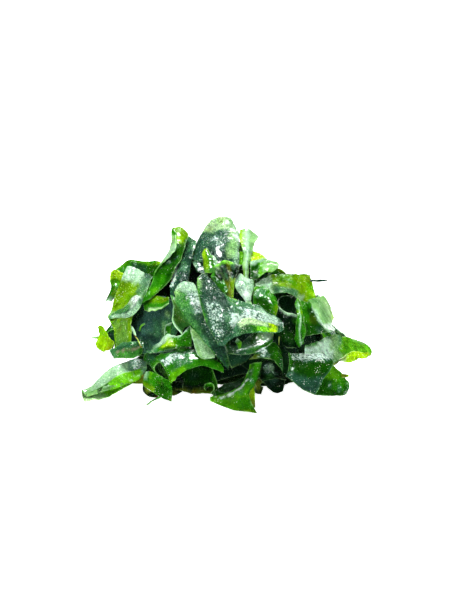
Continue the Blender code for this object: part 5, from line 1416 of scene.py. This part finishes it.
# The lamps: place, target, size, power in watts, and whether wet skin mirrors them.
LAMPS = {
    "overhead": ((-60, 120, 800), (0, 0, 30), 220, 8.3, True),
    "spark": ((220, -420, 860), (0, 0, 30), 60, 1.0, True),
    "behind": ((150, 900, 520), (0, 0, 40), 300, 3.1, True),
    "left": ((-800, -450, 450), (0, 0, 30), 450, 2.8, False),
    "right": ((800, -500, 400), (0, 0, 30), 450, 2.4, False),
}

# The soft light all round, from below to above, and the pale table. Its side is in metres, and its white,
# its roughness and its bumps change with its speckle.
WORLD_BELOW = (0.12, 0.14, 0.13, 1)
WORLD_ABOVE = (0.9, 0.95, 1.0, 1)
WORLD_STRENGTH = 0.37
TABLE_SIZE = 8
TABLE_SPECKLE = 90.0
TABLE_WHITES = ((0.9, 0.9, 0.9, 1), (0.93, 0.93, 0.93, 1))
TABLE_ROUGHNESS = 0.55
TABLE_ROUGHNESS_SWING = 0.1
TABLE_DEPTH = 0.0002


def aimed(thing, place, target):
    """Puts a lamp or camera in the scene at a place, looking at its target."""
    thing.location = Vector(place) * MM
    thing.rotation_euler = (Vector(target) - Vector(place)).to_track_quat("-Z", "Y").to_euler()
    bpy.context.scene.collection.objects.link(thing)


def camera(shift):
    """The photograph's camera."""
    lens = bpy.data.cameras.new("view")
    lens.lens = FILM_WIDTH * VIEW_DISTANCE / VIEW_HEIGHT
    lens.clip_end = VIEW_REACH
    _, up, out = sheet_axes(SHEETS["front"])
    target = np.array([VIEW_MIDDLE[0], 0, 0]) + VIEW_MIDDLE[1] * up + shift
    eye = bpy.data.objects.new("view", lens)
    aimed(eye, target + VIEW_DISTANCE * out, target)
    bpy.context.scene.camera = eye


def soft_light(name, place, target, size, power, mirrored):
    """A round soft lamp, which the camera doesn't see."""
    lamp = bpy.data.lights.new(name, "AREA")
    lamp.shape = "DISK"
    lamp.size = size * MM
    lamp.energy = power
    thing = bpy.data.objects.new(name, lamp)
    thing.visible_camera = False
    thing.visible_glossy = mirrored
    aimed(thing, place, target)


def soft_world():
    """Soft light from all round, brighter from above, which wet skin doesn't mirror."""
    world = bpy.data.worlds.new("studio")
    world.cycles_visibility.glossy = False
    bpy.context.scene.world = world
    paint = Paint(world)
    place = paint.node("ShaderNodeTexCoord", out="Generated")
    height = paint.node("ShaderNodeSeparateXYZ", None, {"Vector": place}, out="Z")
    colour = paint.node("ShaderNodeValToRGB", {"stops": (WORLD_BELOW, WORLD_ABOVE)}, {0: height})
    glow = paint.node("ShaderNodeBackground", None, {"Color": colour, "Strength": WORLD_STRENGTH})
    paint.node("ShaderNodeOutputWorld", None, {"Surface": glow})


def pale_table():
    """The table, lit to near white."""
    bpy.ops.mesh.primitive_plane_add(size=TABLE_SIZE)
    floor = bpy.context.object
    floor.name = "floor"
    floor.visible_glossy = False
    paint = Paint(bpy.data.materials.new("table_white"))
    place = paint.node("ShaderNodeTexCoord", out="Object")
    speckle = paint.noise(place, TABLE_SPECKLE)
    white = paint.blend(speckle, *TABLE_WHITES)
    rough = TABLE_ROUGHNESS + TABLE_ROUGHNESS_SWING * speckle
    glow = {"Emission Color": (1, 1, 1, 1), "Emission Strength": 1.0}
    floor.data.materials.append(paint.finish(white, rough, speckle, TABLE_DEPTH, glow))


def studio():
    """The lamps, the light all round and the table."""
    for name, settings in LAMPS.items():
        soft_light(name, *settings)
    soft_world()
    pale_table()
    bpy.context.scene.view_settings.view_transform = "Standard"


def laying_order(blades, outs):
    """Every fine piece as (name, node or None, grid, way out), the shreds each put after its own blade."""
    pieces = [(name, name, grid, outs[name]) for name, grid in blades.items()]
    front = sheet_axes(SHEETS["front"])[2]
    for name, (after, *_, rows) in SHREDS.items():
        place = [piece[0] for piece in pieces].index(after) + 1
        pieces.insert(place, (name, None, blade_grid(placed(rows, SHEETS["front"], FOLLOW)), front))
    return pieces


def brushing(name):
    """The entry of BRUSHED that a blade takes, and how far its round touches are stretched."""
    if name in FAR_BLADES:
        drawn, _, _, _, stretch, _ = FAR_BLADES[name]
        return drawn, stretch
    if name in SHADED_BLADES:
        return "shaded", 1.0
    return "inner" if name.startswith("inner") else name, 1.0


def main():
    """Draws every blade finely on its solid's middle surface, and sets up the studio."""
    blades, outs = mound()
    low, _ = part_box("base")
    shift = np.array([*(np.array(low[:2]) / MM - blades["base"].min(axis=(0, 1))[:2]), 0])
    camera(shift)
    inset = HALF_THICKNESS + HAIR
    room = [np.array(corner) / MM - shift + way * inset for corner, way in zip(model_box, (1, -1))]
    materials = {skin: blade_material("wet_" + skin, *shares) for skin, shares in SKINS.items()}
    beneath = []
    for number, (name, node, grid, out) in enumerate(laying_order(blades, outs)):
        kind, stretch = brushing(name)
        pleats = pleated(number) if name.startswith("inner") else None
        finish, hue, touches = BRUSHED[kind] if node else SHREDS[name][1:4]
        dice = np.random.default_rng(number + 1)
        blade = Blade(name, grid, dice, out, beneath, room, pleats, BLADE_SLACK if node else SHRED_SLACK)
        middle = blade.middle
        beneath.append((surface([middle]), middle.min(axis=(0, 1)), middle.max(axis=(0, 1))))
        colour, frost = brushed(blade, hue, touches, stretch, dice)
        piece = blade_object(blade, colour, frost, materials[OWN_SKINS.get(kind, finish)], shift)
        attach(piece, "root")
        if node:
            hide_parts(node)
        "wakame_" + finish
    studio()


main()
